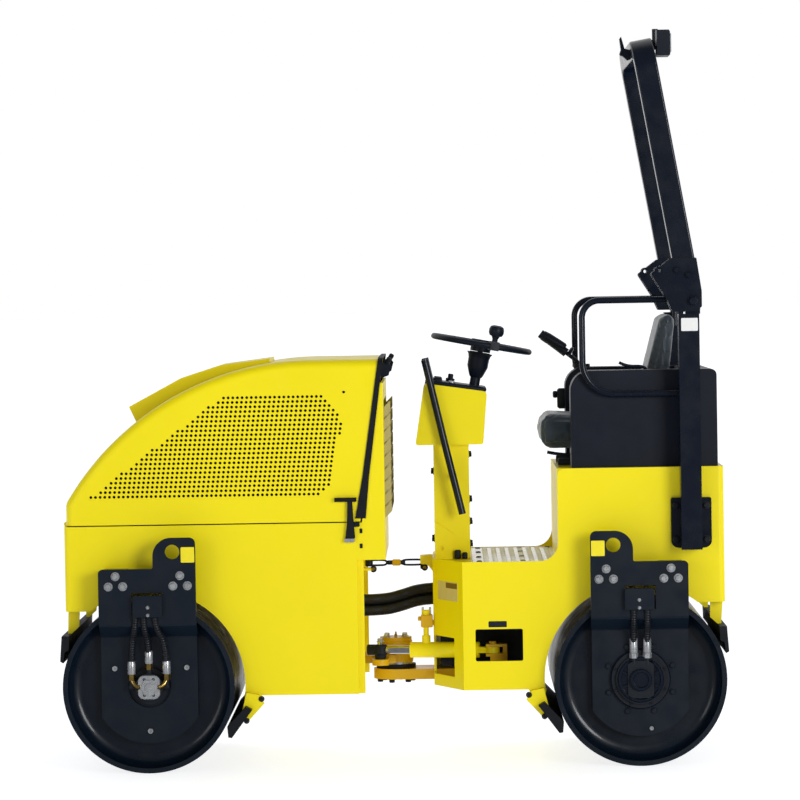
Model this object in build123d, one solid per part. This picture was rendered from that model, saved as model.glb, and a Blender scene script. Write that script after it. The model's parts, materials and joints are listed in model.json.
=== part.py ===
from build123d import *
import os
from math import atan2, copysign, cos, degrees, hypot, radians, sin, sqrt, tan

# Ride-on articulated road roller with two drums, in millimetres.
# +X is forward, +Y is the driver's left, +Z is up, and the origin is on the ground under the steering pivot.

# Fits
RUN_CLEAR = 0.05
SEAT_GAP = 0.3

# Drums
WHEELBASE = 1600.0
DRUM_R = 280.0
DRUM_WIDTH = 900.0
DRUM_OVERHANG = 70.0
DRUM_SHELL = 16.0
DRUM_DISC = 14.0
DRUM_RECESS = 80.0
DRUM_DISH_R = 40.0
AXLE_R = 60.0

# Frames of bent sheet
SHEET = 8.0
ARCH_GAP = 31.0
CORNER_R = 19.0
SKIRT_Z = 525.0
DECK_GAP = 40.0

# Front frame
FRONT_REAR_X = 118.0
FRONT_LIP = 21.0
FRONT_NOSE_X = 1074.0
FRONT_BOTTOM_Z = 242.0
FRONT_TOP_Z = 802.0
HOUSING_X = 24.0
HOUSING_BOTTOM_Z = 680.0
HOUSING_TOP_Z = 1257.0
ENGINE_LENGTH = 460.0
ENGINE_WIDTH = 380.0
ENGINE_HEIGHT = 440.0
ENGINE_REAR_X = 400.0
GRILLE_DEPTH = 22.0
GRILLE_INSET = 90.0
GRILLE_LOW_Z = 811.0
GRILLE_HIGH_Z = 1218.0
LOUVRE_PITCH = 41.0
LOUVRE_THICK = 5.0

# Hood
HOOD_SHEET = 4.0
HOOD_GAP = 4.0
HOOD_FRONT_X = 1067.0
HOOD_TOP_Z = 1335.0
HOOD_ARC_R = 932.0
HOOD_ARC_START_X = 265.0
HOOD_NOSE_R = 40.0
HOOD_EDGE_R = 26.0
HOOD_REAR_TOP_X = 31.0
HOOD_REAR_LOW_X = 105.0
HINGE_PIN_R = 4.0
HINGE_KNUCKLE_R = 6.0
HINGE_KNUCKLE_LENGTH = 60.0
HINGE_INSET = 130.0
SCOOP_HALF_Y = 170.0
MESH_LOW_Z = 888.0
MESH_TOP_Z = 1227.0
SEAL_WIDTH = 22.0
SEAL_FLARE = 12.0
SEAL_THICK = 5.0

# Rear frame
REAR_WALL_X = -128.0
REAR_WALL_INSET = 205.0
REAR_CORNER_DEPTH = 97.0
REAR_BACK_X = -1082.0
REAR_BOTTOM_Z = 248.0
FLOOR_Z = 667.0
RISER_X = -539.0
RISER_CORNER_R = 60.0
REAR_TOP_Z = 968.0
WINDOW_X = (-420.0, -265.0)
WINDOW_Z = (342.0, 447.0)
CHEQUER_THICK = 6.0

# Steering pivot and oscillation shaft
ARM_R = 75.0
ARM_LOW_Z = 257.0
ARM_THICK = 34.0
PIVOT_PIN_R = 30.0
WASHER_R = 66.0
WASHER_THICK = 14.0
FLANGE_R = 56.0
FLANGE_THICK = 7.5
TONGUE_THICK = 26.0
LUG_STEP = 6.0
HUB_R = 58.0
HUB_HEIGHT = 47.0
CAP_R = 53.0
CAP_HEIGHT = 35.0
OSC_SHAFT_R = 35.0
OSC_HOUSING_R = 62.0
OSC_HOUSING_X = (155.0, 390.0)

# Steering cylinder on the left side
ROD_PIN = (50.0, 145.0)
BARREL_PIN = (-322.0, 205.0)
CYLINDER_Z = 364.0
BARREL_R = 26.0
BARREL_EYE_R = 24.0
CLEVIS_HALF_GAP = 11.0
CLEVIS_CHEEK = 9.0
BARREL_PIN_R = 12.0
ROD_R = 14.0
ROD_EYE_R = 18.0
ROD_SHOWN = 102.0
ROD_STROKE = 80.0
RISER_PIPE_BACK = 53.0
RISER_PIPE_HEIGHT = 106.0

# Hose bundle across the articulation
BUNDLE_R = 34.0
BUNDLE_REAR_Z = 540.0
BUNDLE_FRONT_Z = 503.0
LOCK_Z = 644.0

# Drum plates that carry each drum
PLATE_THICK = 12.0
PLATE_GAP = 13.0
PLATE_JOGGLE = 70.0
PLATE_HALF_X = 157.0
PLATE_LUG_Z = 768.0
PLATE_SHOULDER_Z = 668.0
PLATE_BEND_Z = 488.0
PLATE_STEP_Z = 447.0
PLATE_FOOT_R = 187.0
LIFT_HOLE_R = 23.5
LIFT_HOLE_U = -85.0
LIFT_HOLE_Z = 722.0
MOTOR_HOLE_R = 70.0
HOSE_SLOT_HALF = 50.0
HOSE_R = 10.5
PORT_U = 57.0

# Operator's place
PEDESTAL_HALF_Y = 90.0
PEDESTAL_DEPTH = 118.0
GUSSET_DEPTH = 61.0
CONSOLE_HALF_Y = 120.0
CONSOLE_RISE = 374.0
WHEEL_BACK = 175.0
WHEEL_RISE = 332.0
WHEEL_TILT = 10.8
WHEEL_RIM_R = 161.0
WHEEL_TUBE_R = 10.0
COLUMN_R = 17.0
BOOT_R = 34.0
COLUMN_SHAFT_R = 9.0
GRAB_R = 12.0
GRAB_Y = 152.0
SIDE_CONSOLE_BACK = 16.0
SIDE_CONSOLE_LENGTH = 478.0
SIDE_CONSOLE_INSET = 32.0
SIDE_CONSOLE_HEIGHT = 317.0
SEAT_BASE_HEIGHT = 62.0
SEAT_WELL_HALF_Y = 225.0
SEAT_WELL_BACK = 106.0

# Rails and roll bar
RAIL_R = 10.5
RAIL_INSET = 21.0
POST_GAP = 12.0
POST_WIDTH = 70.0
POST_DEPTH = 67.0
POST_DROP = 266.0
FOLD_INSET = 97.0
FOLD_RISE = 540.0
FOLD_PIN_R = 10.0
FOLD_LUG_R = 24.0
CHEEK_THICK = 10.0
ARCH_INSET = 7.0
ARCH_WIDTH = 72.0
ARCH_RISE = 806.0
ARCH_LEAN = 10.0
ARCH_BEND_R = 100.0
ARCH_EDGE_R = 6.0
LAMP_Y = 300.0
BEACON_BACK = 60.0
BEACON_Y = 180.0
BEACON_DROP = 21.0
BEACON_PIN_R = 10.0
BEACON_PIN_LENGTH = 60.0

# Places that follow from the sizes above
AXLE_X = WHEELBASE / 2
AXLE_Z = DRUM_R
DRUM_HALF_Y = DRUM_WIDTH / 2
FRAME_HALF_Y = DRUM_HALF_Y - DRUM_OVERHANG
ARCH_R = DRUM_R + ARCH_GAP
DECK_Z = 2 * DRUM_R + DECK_GAP
INNER_HALF_Y = FRAME_HALF_Y - SHEET
PLATE_INNER_Y = FRAME_HALF_Y + PLATE_GAP
PLATE_OUTER_Y = PLATE_INNER_Y + PLATE_JOGGLE
HOSE_OUT_Y = PLATE_OUTER_Y + PLATE_THICK + HOSE_R + 5.5
PORT_Y = PLATE_INNER_Y + 33.0
GRILLE_HALF_Y = FRAME_HALF_Y - GRILLE_INSET
HINGE_Y = FRAME_HALF_Y - HINGE_INSET
REAR_WALL_HALF_Y = FRAME_HALF_Y - REAR_WALL_INSET
REAR_CORNER_X = REAR_WALL_X - REAR_CORNER_DEPTH
HOOD_LOW_Z = FRONT_TOP_Z + HOOD_GAP
HINGE_X = FRONT_NOSE_X
HINGE_Z = FRONT_TOP_Z + HINGE_KNUCKLE_R + 1.0
ARM_TOP_Z = ARM_LOW_Z + ARM_THICK
FLANGE_LOW_Z = ARM_TOP_Z + WASHER_THICK + SEAT_GAP
TONGUE_LOW_Z = FLANGE_LOW_Z + FLANGE_THICK
TONGUE_TOP_Z = TONGUE_LOW_Z + TONGUE_THICK
LUG_TOP_Z = TONGUE_TOP_Z - LUG_STEP
OSC_Z = TONGUE_LOW_Z + TONGUE_THICK / 2
HUB_TOP_Z = TONGUE_LOW_Z + HUB_HEIGHT
CYLINDER_ANGLE = degrees(atan2(ROD_PIN[1] - BARREL_PIN[1], ROD_PIN[0] - BARREL_PIN[0]))
CYLINDER_LENGTH = hypot(ROD_PIN[0] - BARREL_PIN[0], ROD_PIN[1] - BARREL_PIN[1])
BARREL_LENGTH = CYLINDER_LENGTH - ROD_SHOWN
FLOOR_PAN_TOP_Z = FLOOR_Z - CHEQUER_THICK - 2.0
PEDESTAL_X = REAR_WALL_X - SHEET - SEAT_GAP
CONSOLE_LOW_Z = FLOOR_Z + CONSOLE_RISE
WHEEL_CENTRE = (REAR_WALL_X - WHEEL_BACK, 0.0, CONSOLE_LOW_Z + WHEEL_RISE)
SIDE_CONSOLE_X = (REAR_BACK_X + SIDE_CONSOLE_BACK, REAR_BACK_X + SIDE_CONSOLE_BACK + SIDE_CONSOLE_LENGTH)
SIDE_CONSOLE_HALF_Y = FRAME_HALF_Y - SIDE_CONSOLE_INSET
SIDE_CONSOLE_TOP_Z = REAR_TOP_Z + SIDE_CONSOLE_HEIGHT
SEAT_BASE_Z = REAR_TOP_Z + SEAT_BASE_HEIGHT
SEAT_WELL_BACK_X = SIDE_CONSOLE_X[0] + SEAT_WELL_BACK
SEAT_X = SIDE_CONSOLE_X[1]
FOLD_X = REAR_BACK_X + FOLD_INSET
FOLD_Z = REAR_TOP_Z + FOLD_RISE
POST_X = (FOLD_X - 20.0, FOLD_X - 20.0 + POST_DEPTH)
POST_Y = (FRAME_HALF_Y + POST_GAP, FRAME_HALF_Y + POST_GAP + POST_WIDTH)
POST_LOW_Z = REAR_TOP_Z - POST_DROP
POST_TOP_Z = FOLD_Z - 42.0
RAIL_Y = POST_Y[0] - RAIL_INSET
ARCH_Y = (POST_Y[0] + ARCH_INSET, POST_Y[1] - ARCH_INSET)
ARCH_LOW_X = FOLD_X + 13.0
ARCH_LOW_Z = FOLD_Z + 52.0
ARCH_TOP_Z = ARCH_LOW_Z + ARCH_RISE
ARCH_LENGTH = (ARCH_RISE - ARCH_WIDTH / 2 * sin(radians(ARCH_LEAN))) / cos(radians(ARCH_LEAN))
BEACON_X = ARCH_LOW_X + ARCH_RISE * tan(radians(ARCH_LEAN)) - BEACON_BACK
BEACON_Z = ARCH_TOP_Z - BEACON_DROP
CHEEK_Y = (ARCH_Y[0] - CHEEK_THICK, ARCH_Y[1] + CHEEK_THICK)


def span_box(x_span, y_span, z_span):
    """Box between three pairs of limits, in any order."""
    spans = (x_span, y_span, z_span)
    centre = [(low + high) / 2 for low, high in spans]
    size = [abs(high - low) for low, high in spans]
    return Pos(*centre) * Box(*size)


def outline(points, radii=None):
    """Closed flat outline, with a corner radius for each point where radii are given."""
    if radii is None:
        return make_face(Polyline(*points, close=True))
    return make_face(FilletPolyline(*points, radius=radii, close=True))


def side_sheet(sketch, y_span):
    """Extrude an outline drawn in X and Z across a span of Y."""
    low, high = sorted(y_span)
    plane = Plane(origin=(0, high, 0), x_dir=(1, 0, 0), z_dir=(0, -1, 0))
    return extrude(plane * sketch, amount=high - low)


def plan_sheet(sketch, z_span):
    """Extrude an outline drawn in X and Y across a span of Z."""
    low, high = sorted(z_span)
    return extrude(Pos(0, 0, low) * sketch, amount=high - low)


def rod_between(start, end, radius):
    """Round bar between two points."""
    start, end = Vector(*start), Vector(*end)
    plane = Plane(origin=start, z_dir=end - start)
    return extrude(plane * Circle(radius), amount=(end - start).length)


def bent_tube(points, bends, radius):
    """Round tube along straight runs joined by arcs."""
    path = FilletPolyline(*points, radius=bends)
    section = Plane(origin=path @ 0, z_dir=path % 0) * Circle(radius)
    return sweep(section, path=path)


def mirrored(part):
    """The same piece on the other side of the machine."""
    return mirror(part, about=Plane.XZ)


def turned(part):
    """The same piece at the other drum, half a turn about the vertical."""
    return Rot(0, 0, 180) * part


def save(node, *solids):
    """Write one node's solids to its own file."""
    shape = solids[0] if len(solids) == 1 else Compound(children=list(solids))
    export_step(shape, os.path.join("parts", node + ".step"))


def arch_cut(axle_x):
    """Round clearance over a drum, right across the frame."""
    return rod_between((axle_x, -2 * FRAME_HALF_Y, AXLE_Z), (axle_x, 2 * FRAME_HALF_Y, AXLE_Z), ARCH_R)


# Drums

def drum():
    """Rolled shell with two dished ends, centred on the front axle."""
    inner = DRUM_R - DRUM_SHELL
    end = DRUM_HALF_Y
    face = end - DRUM_RECESS
    back = face - DRUM_DISC
    shell = outline([(inner, -end), (DRUM_R, -end), (DRUM_R, end), (inner, end)])
    profile = shell
    for side in (1, -1):
        disc = outline([(AXLE_R + RUN_CLEAR, side * back), (inner, side * back),
                        (inner, side * face), (AXLE_R + RUN_CLEAR, side * face)])
        dish = outline([(inner - DRUM_DISH_R, side * face), (inner, side * face),
                        (inner, side * (face + DRUM_DISH_R))])
        dish -= Pos(inner - DRUM_DISH_R, side * (face + DRUM_DISH_R)) * Circle(DRUM_DISH_R)
        profile += disc + dish
    turned_profile = revolve(profile, axis=Axis.Y)
    return Pos(AXLE_X, 0, AXLE_Z) * turned_profile


# Drum plates, their motors and hoses, drawn at the front axle with u running outwards along X

def plate_outline():
    """Side outline of a drum plate with its lifting lug towards the machine's middle."""
    lug_u = (-PLATE_HALF_X - 3.0, -21.0)
    upper = outline(
        [(lug_u[0], PLATE_STEP_Z), (PLATE_HALF_X, PLATE_STEP_Z), (PLATE_HALF_X, PLATE_SHOULDER_Z),
         (lug_u[1], PLATE_SHOULDER_Z), (lug_u[1], PLATE_LUG_Z), (lug_u[0], PLATE_LUG_Z)],
        [0, 0, 15.0, 6.0, 60.0, 20.0])
    lower = Pos(0, AXLE_Z) * Circle(PLATE_FOOT_R)
    lower += Pos(0, (AXLE_Z + PLATE_STEP_Z) / 2) * Rectangle(2 * PLATE_HALF_X, PLATE_STEP_Z - AXLE_Z)
    lower &= Pos(0, PLATE_STEP_Z - PLATE_FOOT_R * 2) * Rectangle(2 * PLATE_HALF_X, PLATE_FOOT_R * 4)
    lift_hole = Pos(LIFT_HOLE_U, LIFT_HOLE_Z) * Circle(LIFT_HOLE_R)
    motor_hole = Pos(0, AXLE_Z) * Circle(MOTOR_HOLE_R)
    slot_low, slot_high = PLATE_BEND_Z + 24.0, 2 * DRUM_R + 30.0
    hose_slot = Pos(0, (slot_low + slot_high) / 2) * Rectangle(2 * HOSE_SLOT_HALF, slot_high - slot_low)
    return upper + lower - lift_hole - motor_hole - hose_slot


def plate_section():
    """Cross-section of the plate in Y and Z: flat top, joggle past the drum's rim, flat foot."""
    low, high = AXLE_Z - 2 * PLATE_FOOT_R, PLATE_LUG_Z + 10.0
    outer, inner = PLATE_OUTER_Y, PLATE_INNER_Y
    points = [(outer, high), (outer + PLATE_THICK, high), (outer + PLATE_THICK, PLATE_BEND_Z - 5.0),
              (inner + PLATE_THICK, PLATE_STEP_Z - 5.0), (inner + PLATE_THICK, low),
              (inner, low), (inner, PLATE_STEP_Z + 3.0), (outer, PLATE_BEND_Z + 3.0)]
    return outline(points, [0, 0, 12.0, 8.0, 0, 0, 12.0, 8.0])


def drum_plate():
    """Left plate: joggled sheet, two spacer blocks to the frame and the stub axle."""
    bent = extrude(Plane(origin=(-2 * PLATE_HALF_X, 0, 0), x_dir=(0, 1, 0), z_dir=(1, 0, 0)) * plate_section(),
                   amount=4 * PLATE_HALF_X)
    plate = bent & side_sheet(plate_outline(), (0, 2 * PLATE_OUTER_Y))
    for u_span in ((-150.0, -72.0), (66.0, 142.0)):
        plate += span_box(u_span, (FRAME_HALF_Y, PLATE_OUTER_Y), (592.0, 664.0))
    flange_back = PLATE_INNER_Y - PLATE_THICK
    shaft_end = DRUM_HALF_Y - DRUM_RECESS - DRUM_DISC - 10.0
    plate += rod_between((0, flange_back, AXLE_Z), (0, PLATE_INNER_Y, AXLE_Z), 2 * AXLE_R)
    plate += rod_between((0, shaft_end, AXLE_Z), (0, flange_back, AXLE_Z), AXLE_R)
    return Pos(AXLE_X, 0, 0) * plate


def vibration_motor():
    """Cast gear motor on the stub axle, with three port bosses."""
    body = rod_between((0, PLATE_INNER_Y, AXLE_Z), (0, PORT_Y + 14.0, AXLE_Z), 45.0)
    body += rod_between((0, PLATE_INNER_Y, AXLE_Z), (0, PLATE_INNER_Y + 11.0, AXLE_Z), MOTOR_HOLE_R - 10.0)
    body += rod_between((0, PORT_Y, AXLE_Z), (0, PORT_Y, AXLE_Z + 72.0), 9.0)
    for u in (-PORT_U, PORT_U):
        body += rod_between((0, PORT_Y, AXLE_Z), (u + copysign(9.0, u), PORT_Y, AXLE_Z), 9.0)
        body += rod_between((u, PORT_Y, AXLE_Z), (u, PORT_Y, AXLE_Z + 38.0), 9.0)
    return Pos(AXLE_X, 0, 0) * body


def drive_motor():
    """Hub motor: wide bolted ring with a stepped housing and two ports on top."""
    face = PLATE_INNER_Y + PLATE_THICK
    body = rod_between((0, PLATE_INNER_Y, AXLE_Z), (0, face + 4.0, AXLE_Z), MOTOR_HOLE_R - SEAT_GAP)
    body += rod_between((0, face, AXLE_Z), (0, face + 16.0, AXLE_Z), 94.0)
    body += rod_between((0, face + 16.0, AXLE_Z), (0, face + 27.0, AXLE_Z), 80.0)
    body += span_box((-42.0, 42.0), (face + 27.0, face + 35.0), (AXLE_Z - 60.0, AXLE_Z + 62.0))
    body += rod_between((0, face + 35.0, AXLE_Z), (0, face + 41.0, AXLE_Z), 36.0)
    for u in (-22.0, 22.0):
        body += rod_between((u, face + 27.0, AXLE_Z + 50.0), (u, face + 27.0, AXLE_Z + 84.0), 9.0)
    return Pos(AXLE_X, 0, 0) * body


def motor_hose(start_u, end_u, end_z, end_y):
    """One hose: out over the drum's rim through the plate's slot, past the plate's bend and down to its port."""
    over_z = 2 * DRUM_R + HOSE_R + 6.5
    points = [(start_u, PLATE_INNER_Y + PLATE_THICK, over_z), (start_u, HOSE_OUT_Y, over_z), (start_u, HOSE_OUT_Y, PLATE_BEND_Z - 8.0),
              (end_u, end_y, PLATE_STEP_Z - 22.0), (end_u, end_y, end_z)]
    hose = bent_tube(points, [22.0, 50.0, 50.0], HOSE_R)
    return Pos(AXLE_X, 0, 0) * hose


def motor_hoses():
    """Three hoses of the left motor and two of the right one."""
    left = [motor_hose(38.0, PORT_U, AXLE_Z + 38.0, PORT_Y), motor_hose(12.0, 0.0, AXLE_Z + 72.0, PORT_Y),
            motor_hose(-24.0, -PORT_U, AXLE_Z + 38.0, PORT_Y)]
    right = [mirrored(motor_hose(u, u, AXLE_Z + 84.0, PORT_Y + 6.0)) for u in (-22.0, 22.0)]
    return left + right


def rim_point(u, w):
    """Point beside the front drum, given as it lies beside a drum of 280 radius."""
    return (AXLE_X + u * DRUM_R / 280.0, AXLE_Z + w * DRUM_R / 280.0)


def scraper_blades():
    """Outer and inner wiper of the front drum, each a strip with its holder."""
    outer = outline([rim_point(u, w) for u, w in ((258, 170), (282, 170), (288, 88), (278, 82), (273, 118), (260, 124))])
    inner = outline([rim_point(u, w) for u, w in ((-334, -80), (-314, -68), (-252, -133), (-255, -168), (-267, -170))])
    half = DRUM_HALF_Y - 10.0
    return [side_sheet(sketch, (-half, half)) for sketch in (outer, inner)]


def scraper_bracket_inner(top_z):
    """Angled bar under the frame that holds the inner wiper."""
    low_rear, low_front = rim_point(-334, -80), rim_point(-314, -68)
    bar = outline([(low_rear[0] - 30.0, top_z), (low_front[0] + 8.0, top_z), low_front, low_rear])
    return side_sheet(bar, (-FRAME_HALF_Y, FRAME_HALF_Y))


def scraper_bracket_outer(skirt_x):
    """Two hanging plates inside the frame's end that hold the outer wiper."""
    inside = skirt_x - SHEET + 2.0
    plate = outline([(inside, SKIRT_Z + 40.0), (inside, SKIRT_Z), rim_point(270, 170), rim_point(258, 170),
                     rim_point(234, 192), (skirt_x - 46.0, SKIRT_Z + 40.0)])
    place = FRAME_HALF_Y - 50.0
    return [side_sheet(plate, (y - SHEET / 2, y + SHEET / 2)) for y in (-place, place)]


# Front frame

def front_side_panel():
    """Left side sheet with the drum arch, reaching back under the radiator housing."""
    points = [(FRONT_REAR_X, FRONT_BOTTOM_Z), (AXLE_X, FRONT_BOTTOM_Z), (AXLE_X, SKIRT_Z),
              (FRONT_NOSE_X - CORNER_R, SKIRT_Z), (FRONT_NOSE_X - CORNER_R, FRONT_TOP_Z),
              (HOUSING_X, FRONT_TOP_Z), (HOUSING_X, HOUSING_BOTTOM_Z), (FRONT_REAR_X, HOUSING_BOTTOM_Z)]
    return side_sheet(outline(points), (INNER_HALF_Y, FRAME_HALF_Y)) - arch_cut(AXLE_X)


def end_wrap(end_x, z_span):
    """Sheet across the end of a frame with its two corners bent round."""
    outer = outline([(end_x - 60.0, -FRAME_HALF_Y), (end_x, -FRAME_HALF_Y),
                     (end_x, FRAME_HALF_Y), (end_x - 60.0, FRAME_HALF_Y)], [0, CORNER_R, CORNER_R, 0])
    inner_x = end_x - SHEET
    inner = outline([(end_x - 70.0, -INNER_HALF_Y), (inner_x, -INNER_HALF_Y),
                     (inner_x, INNER_HALF_Y), (end_x - 70.0, INNER_HALF_Y)],
                    [0, CORNER_R - SHEET, CORNER_R - SHEET, 0])
    wrap = plan_sheet(outer - inner, z_span)
    keep = span_box((end_x - CORNER_R, end_x), (-FRAME_HALF_Y, FRAME_HALF_Y), z_span)
    return wrap & keep


def end_plate(start_x, end_x, z_span):
    """Flat plate inside a frame, its far corners following the bent sheet."""
    bend = CORNER_R - SHEET
    plan = outline([(start_x, -INNER_HALF_Y), (end_x, -INNER_HALF_Y), (end_x, INNER_HALF_Y), (start_x, INNER_HALF_Y)],
                   [0, bend, bend, 0])
    return plan_sheet(plan, z_span)


def front_nose():
    """Front sheet with the hood's hinge pins and the outer wiper's hangers."""
    nose = end_wrap(FRONT_NOSE_X, (SKIRT_Z, FRONT_TOP_Z))
    for strip in scraper_bracket_outer(FRONT_NOSE_X):
        nose += strip
    for side in (-1, 1):
        y_span = (side * HINGE_Y, side * (HINGE_Y + HINGE_KNUCKLE_LENGTH))
        nose += span_box((HINGE_X - HINGE_PIN_R, HINGE_X + HINGE_PIN_R), y_span, (FRONT_TOP_Z - 30.0, HINGE_Z))
        knuckle = rod_between((HINGE_X, y_span[0], HINGE_Z), (HINGE_X, y_span[1], HINGE_Z), HINGE_KNUCKLE_R)
        nose += knuckle
        pin_end = side * (HINGE_Y - HINGE_KNUCKLE_LENGTH)
        nose += rod_between((HINGE_X, y_span[0], HINGE_Z), (HINGE_X, pin_end, HINGE_Z), HINGE_PIN_R)
    return nose


def front_rear_wall():
    """Wall towards the articulation, open for the tongue and the hose bundle."""
    wall = span_box((FRONT_REAR_X, FRONT_REAR_X + SHEET), (-INNER_HALF_Y, INNER_HALF_Y),
                    (FRONT_BOTTOM_Z, HOUSING_BOTTOM_Z))
    wall -= span_box((FRONT_REAR_X - SHEET, FRONT_REAR_X + 2 * SHEET), (-105.0, 105.0),
                     (OSC_Z - 45.0, OSC_Z + 45.0))
    wall -= rod_between((FRONT_REAR_X - SHEET, 0, BUNDLE_FRONT_Z), (FRONT_REAR_X + 2 * SHEET, 0, BUNDLE_FRONT_Z),
                        BUNDLE_R + 44.0)
    for side in (-1, 1):
        tab_z = (LOCK_Z + side * 17.0, LOCK_Z + side * 25.0)
        wall += span_box((FRONT_REAR_X - 44.0, FRONT_REAR_X), (-24.0, 24.0), tab_z)
        lip_y = (side * (FRAME_HALF_Y - 28.0), side * (FRAME_HALF_Y - 20.0))
        wall += span_box((FRONT_REAR_X - FRONT_LIP, FRONT_REAR_X), lip_y, (FRONT_BOTTOM_Z, HOUSING_BOTTOM_Z))
    return wall


def oscillation_bearing():
    """Bearing tube of the oscillation shaft, carried by two cross webs."""
    start, end = OSC_HOUSING_X
    bearing = rod_between((start, 0, OSC_Z), (end, 0, OSC_Z), OSC_HOUSING_R)
    for x_span in ((start, start + 12.0), (end - 12.0, end)):
        bearing += span_box(x_span, (-INNER_HALF_Y, INNER_HALF_Y), (FRONT_BOTTOM_Z, DECK_Z))
    bearing -= rod_between((start - 5.0, 0, OSC_Z), (end + 5.0, 0, OSC_Z), OSC_SHAFT_R + RUN_CLEAR)
    return bearing


def engine_deck():
    """Plate over the front drum that carries the engine, with the inner wiper's bar below it."""
    return end_plate(FRONT_REAR_X + SHEET, FRONT_NOSE_X - SHEET, (DECK_Z, DECK_Z + SHEET))


def hood_rear_x(z):
    """Place of the hood's slanted rear edge at a height."""
    share = (HOOD_TOP_Z - z) / (HOOD_TOP_Z - HOOD_LOW_Z)
    return HOOD_REAR_TOP_X + share * (HOOD_REAR_LOW_X - HOOD_REAR_TOP_X)


def radiator_housing():
    """Fixed housing behind the hood: rear sheet with an air opening, side flanges and a bottom shelf."""
    housing = span_box((HOUSING_X, HOUSING_X + SHEET), (-INNER_HALF_Y, INNER_HALF_Y),
                       (HOUSING_BOTTOM_Z, HOUSING_TOP_Z))
    housing -= span_box((0, 2 * HOUSING_X), (20.0 - GRILLE_HALF_Y, GRILLE_HALF_Y - 20.0),
                        (GRILLE_LOW_Z + 20.0, GRILLE_HIGH_Z - 20.0))
    housing += span_box((HOUSING_X + SHEET, FRONT_REAR_X + SHEET), (-INNER_HALF_Y, INNER_HALF_Y),
                        (HOUSING_BOTTOM_Z, HOUSING_BOTTOM_Z + SHEET))
    flange = outline([(HOUSING_X, FRONT_TOP_Z), (hood_rear_x(FRONT_TOP_Z) - HOOD_GAP - 2.0, FRONT_TOP_Z),
                      (hood_rear_x(HOUSING_TOP_Z) - HOOD_GAP - 2.0, HOUSING_TOP_Z), (HOUSING_X, HOUSING_TOP_Z)])
    for y_span in ((INNER_HALF_Y, FRAME_HALF_Y), (-FRAME_HALF_Y, -INNER_HALF_Y)):
        housing += side_sheet(flange, y_span)
    return housing


def radiator_core():
    """Plain finned block behind the grille."""
    return span_box((HOUSING_X + SHEET, 92.0), (30.0 - GRILLE_HALF_Y, GRILLE_HALF_Y - 30.0),
                    (HOUSING_BOTTOM_Z + SHEET, GRILLE_HIGH_Z))


def radiator_grille():
    """Slanted louvres with closed ends, held by three ribs."""
    back = HOUSING_X - GRILLE_DEPTH
    count = int((GRILLE_HIGH_Z - GRILLE_LOW_Z - GRILLE_DEPTH) / LOUVRE_PITCH + 0.5)
    rib_z = (GRILLE_LOW_Z + GRILLE_DEPTH, GRILLE_LOW_Z + count * LOUVRE_PITCH - LOUVRE_THICK)

    def slanted(z, height):
        return outline([(HOUSING_X, z), (HOUSING_X, z + height), (back, z + height + GRILLE_DEPTH),
                        (back, z + GRILLE_DEPTH)])
    grille = span_box((back + 4.0, HOUSING_X), (-LOUVRE_THICK, LOUVRE_THICK), rib_z)
    for side in (-1, 1):
        rib_y = (side * (GRILLE_HALF_Y - 30.0), side * (GRILLE_HALF_Y - 30.0 - LOUVRE_THICK))
        grille += span_box((back + 4.0, HOUSING_X), rib_y, rib_z)
    for number in range(count):
        z = GRILLE_LOW_Z + number * LOUVRE_PITCH
        grille += side_sheet(slanted(z, LOUVRE_THICK), (-GRILLE_HALF_Y, GRILLE_HALF_Y))
        for side in (-1, 1):
            end_y = (side * (GRILLE_HALF_Y - LOUVRE_THICK), side * GRILLE_HALF_Y)
            grille += side_sheet(slanted(z, LOUVRE_PITCH - LOUVRE_THICK), end_y)
    return grille


def engine_block():
    """The engine as one plain block with a smaller rocker cover."""
    x_span = (ENGINE_REAR_X, ENGINE_REAR_X + ENGINE_LENGTH)
    deck_top = DECK_Z + SHEET
    block = span_box(x_span, (-ENGINE_WIDTH / 2, ENGINE_WIDTH / 2), (deck_top, deck_top + ENGINE_HEIGHT - 90.0))
    block += span_box((x_span[0] + 40.0, x_span[1] - 40.0), (-110.0, 110.0),
                      (deck_top + ENGINE_HEIGHT - 90.0, deck_top + ENGINE_HEIGHT))
    return block


# Hood

def hood_body(inset, extra):
    """Solid under the hood's skin, set in by a wall and stretched out below and behind."""
    top = HOOD_TOP_Z - inset
    front = HOOD_FRONT_X - inset
    radius = HOOD_ARC_R - inset
    centre = (HOOD_ARC_START_X, HOOD_TOP_Z - HOOD_ARC_R)
    corner_z = centre[1] + sqrt(radius ** 2 - (front - centre[0]) ** 2)
    low = HOOD_LOW_Z - extra
    middle = ((front + centre[0]) / 2, 0)
    middle = (middle[0], centre[1] + sqrt(radius ** 2 - (middle[0] - centre[0]) ** 2))
    rear_top = (hood_rear_x(top) - extra, top)
    rear_low = (hood_rear_x(low) - extra, low)
    edges = [Line(rear_low, (front, low)), Line((front, low), (front, corner_z)),
             ThreePointArc((front, corner_z), middle, (centre[0], top)),
             Line((centre[0], top), rear_top), Line(rear_top, rear_low)]
    face = make_face(edges)
    corner = face.vertices().sort_by_distance((front, corner_z, 0))[0]
    face = fillet(corner, HOOD_NOSE_R - inset)
    half = FRAME_HALF_Y - inset
    body = side_sheet(face, (-half, half))
    rounded = [edge for edge in body.edges() if abs(abs(edge.center().Y) - half) < 0.01
               and edge.center().Z > low + 1.0
               and (edge.center().X > HOOD_REAR_LOW_X + 5.0 or edge.center().Z > top - 1.0)]
    return fillet(rounded, HOOD_EDGE_R - inset)


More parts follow.
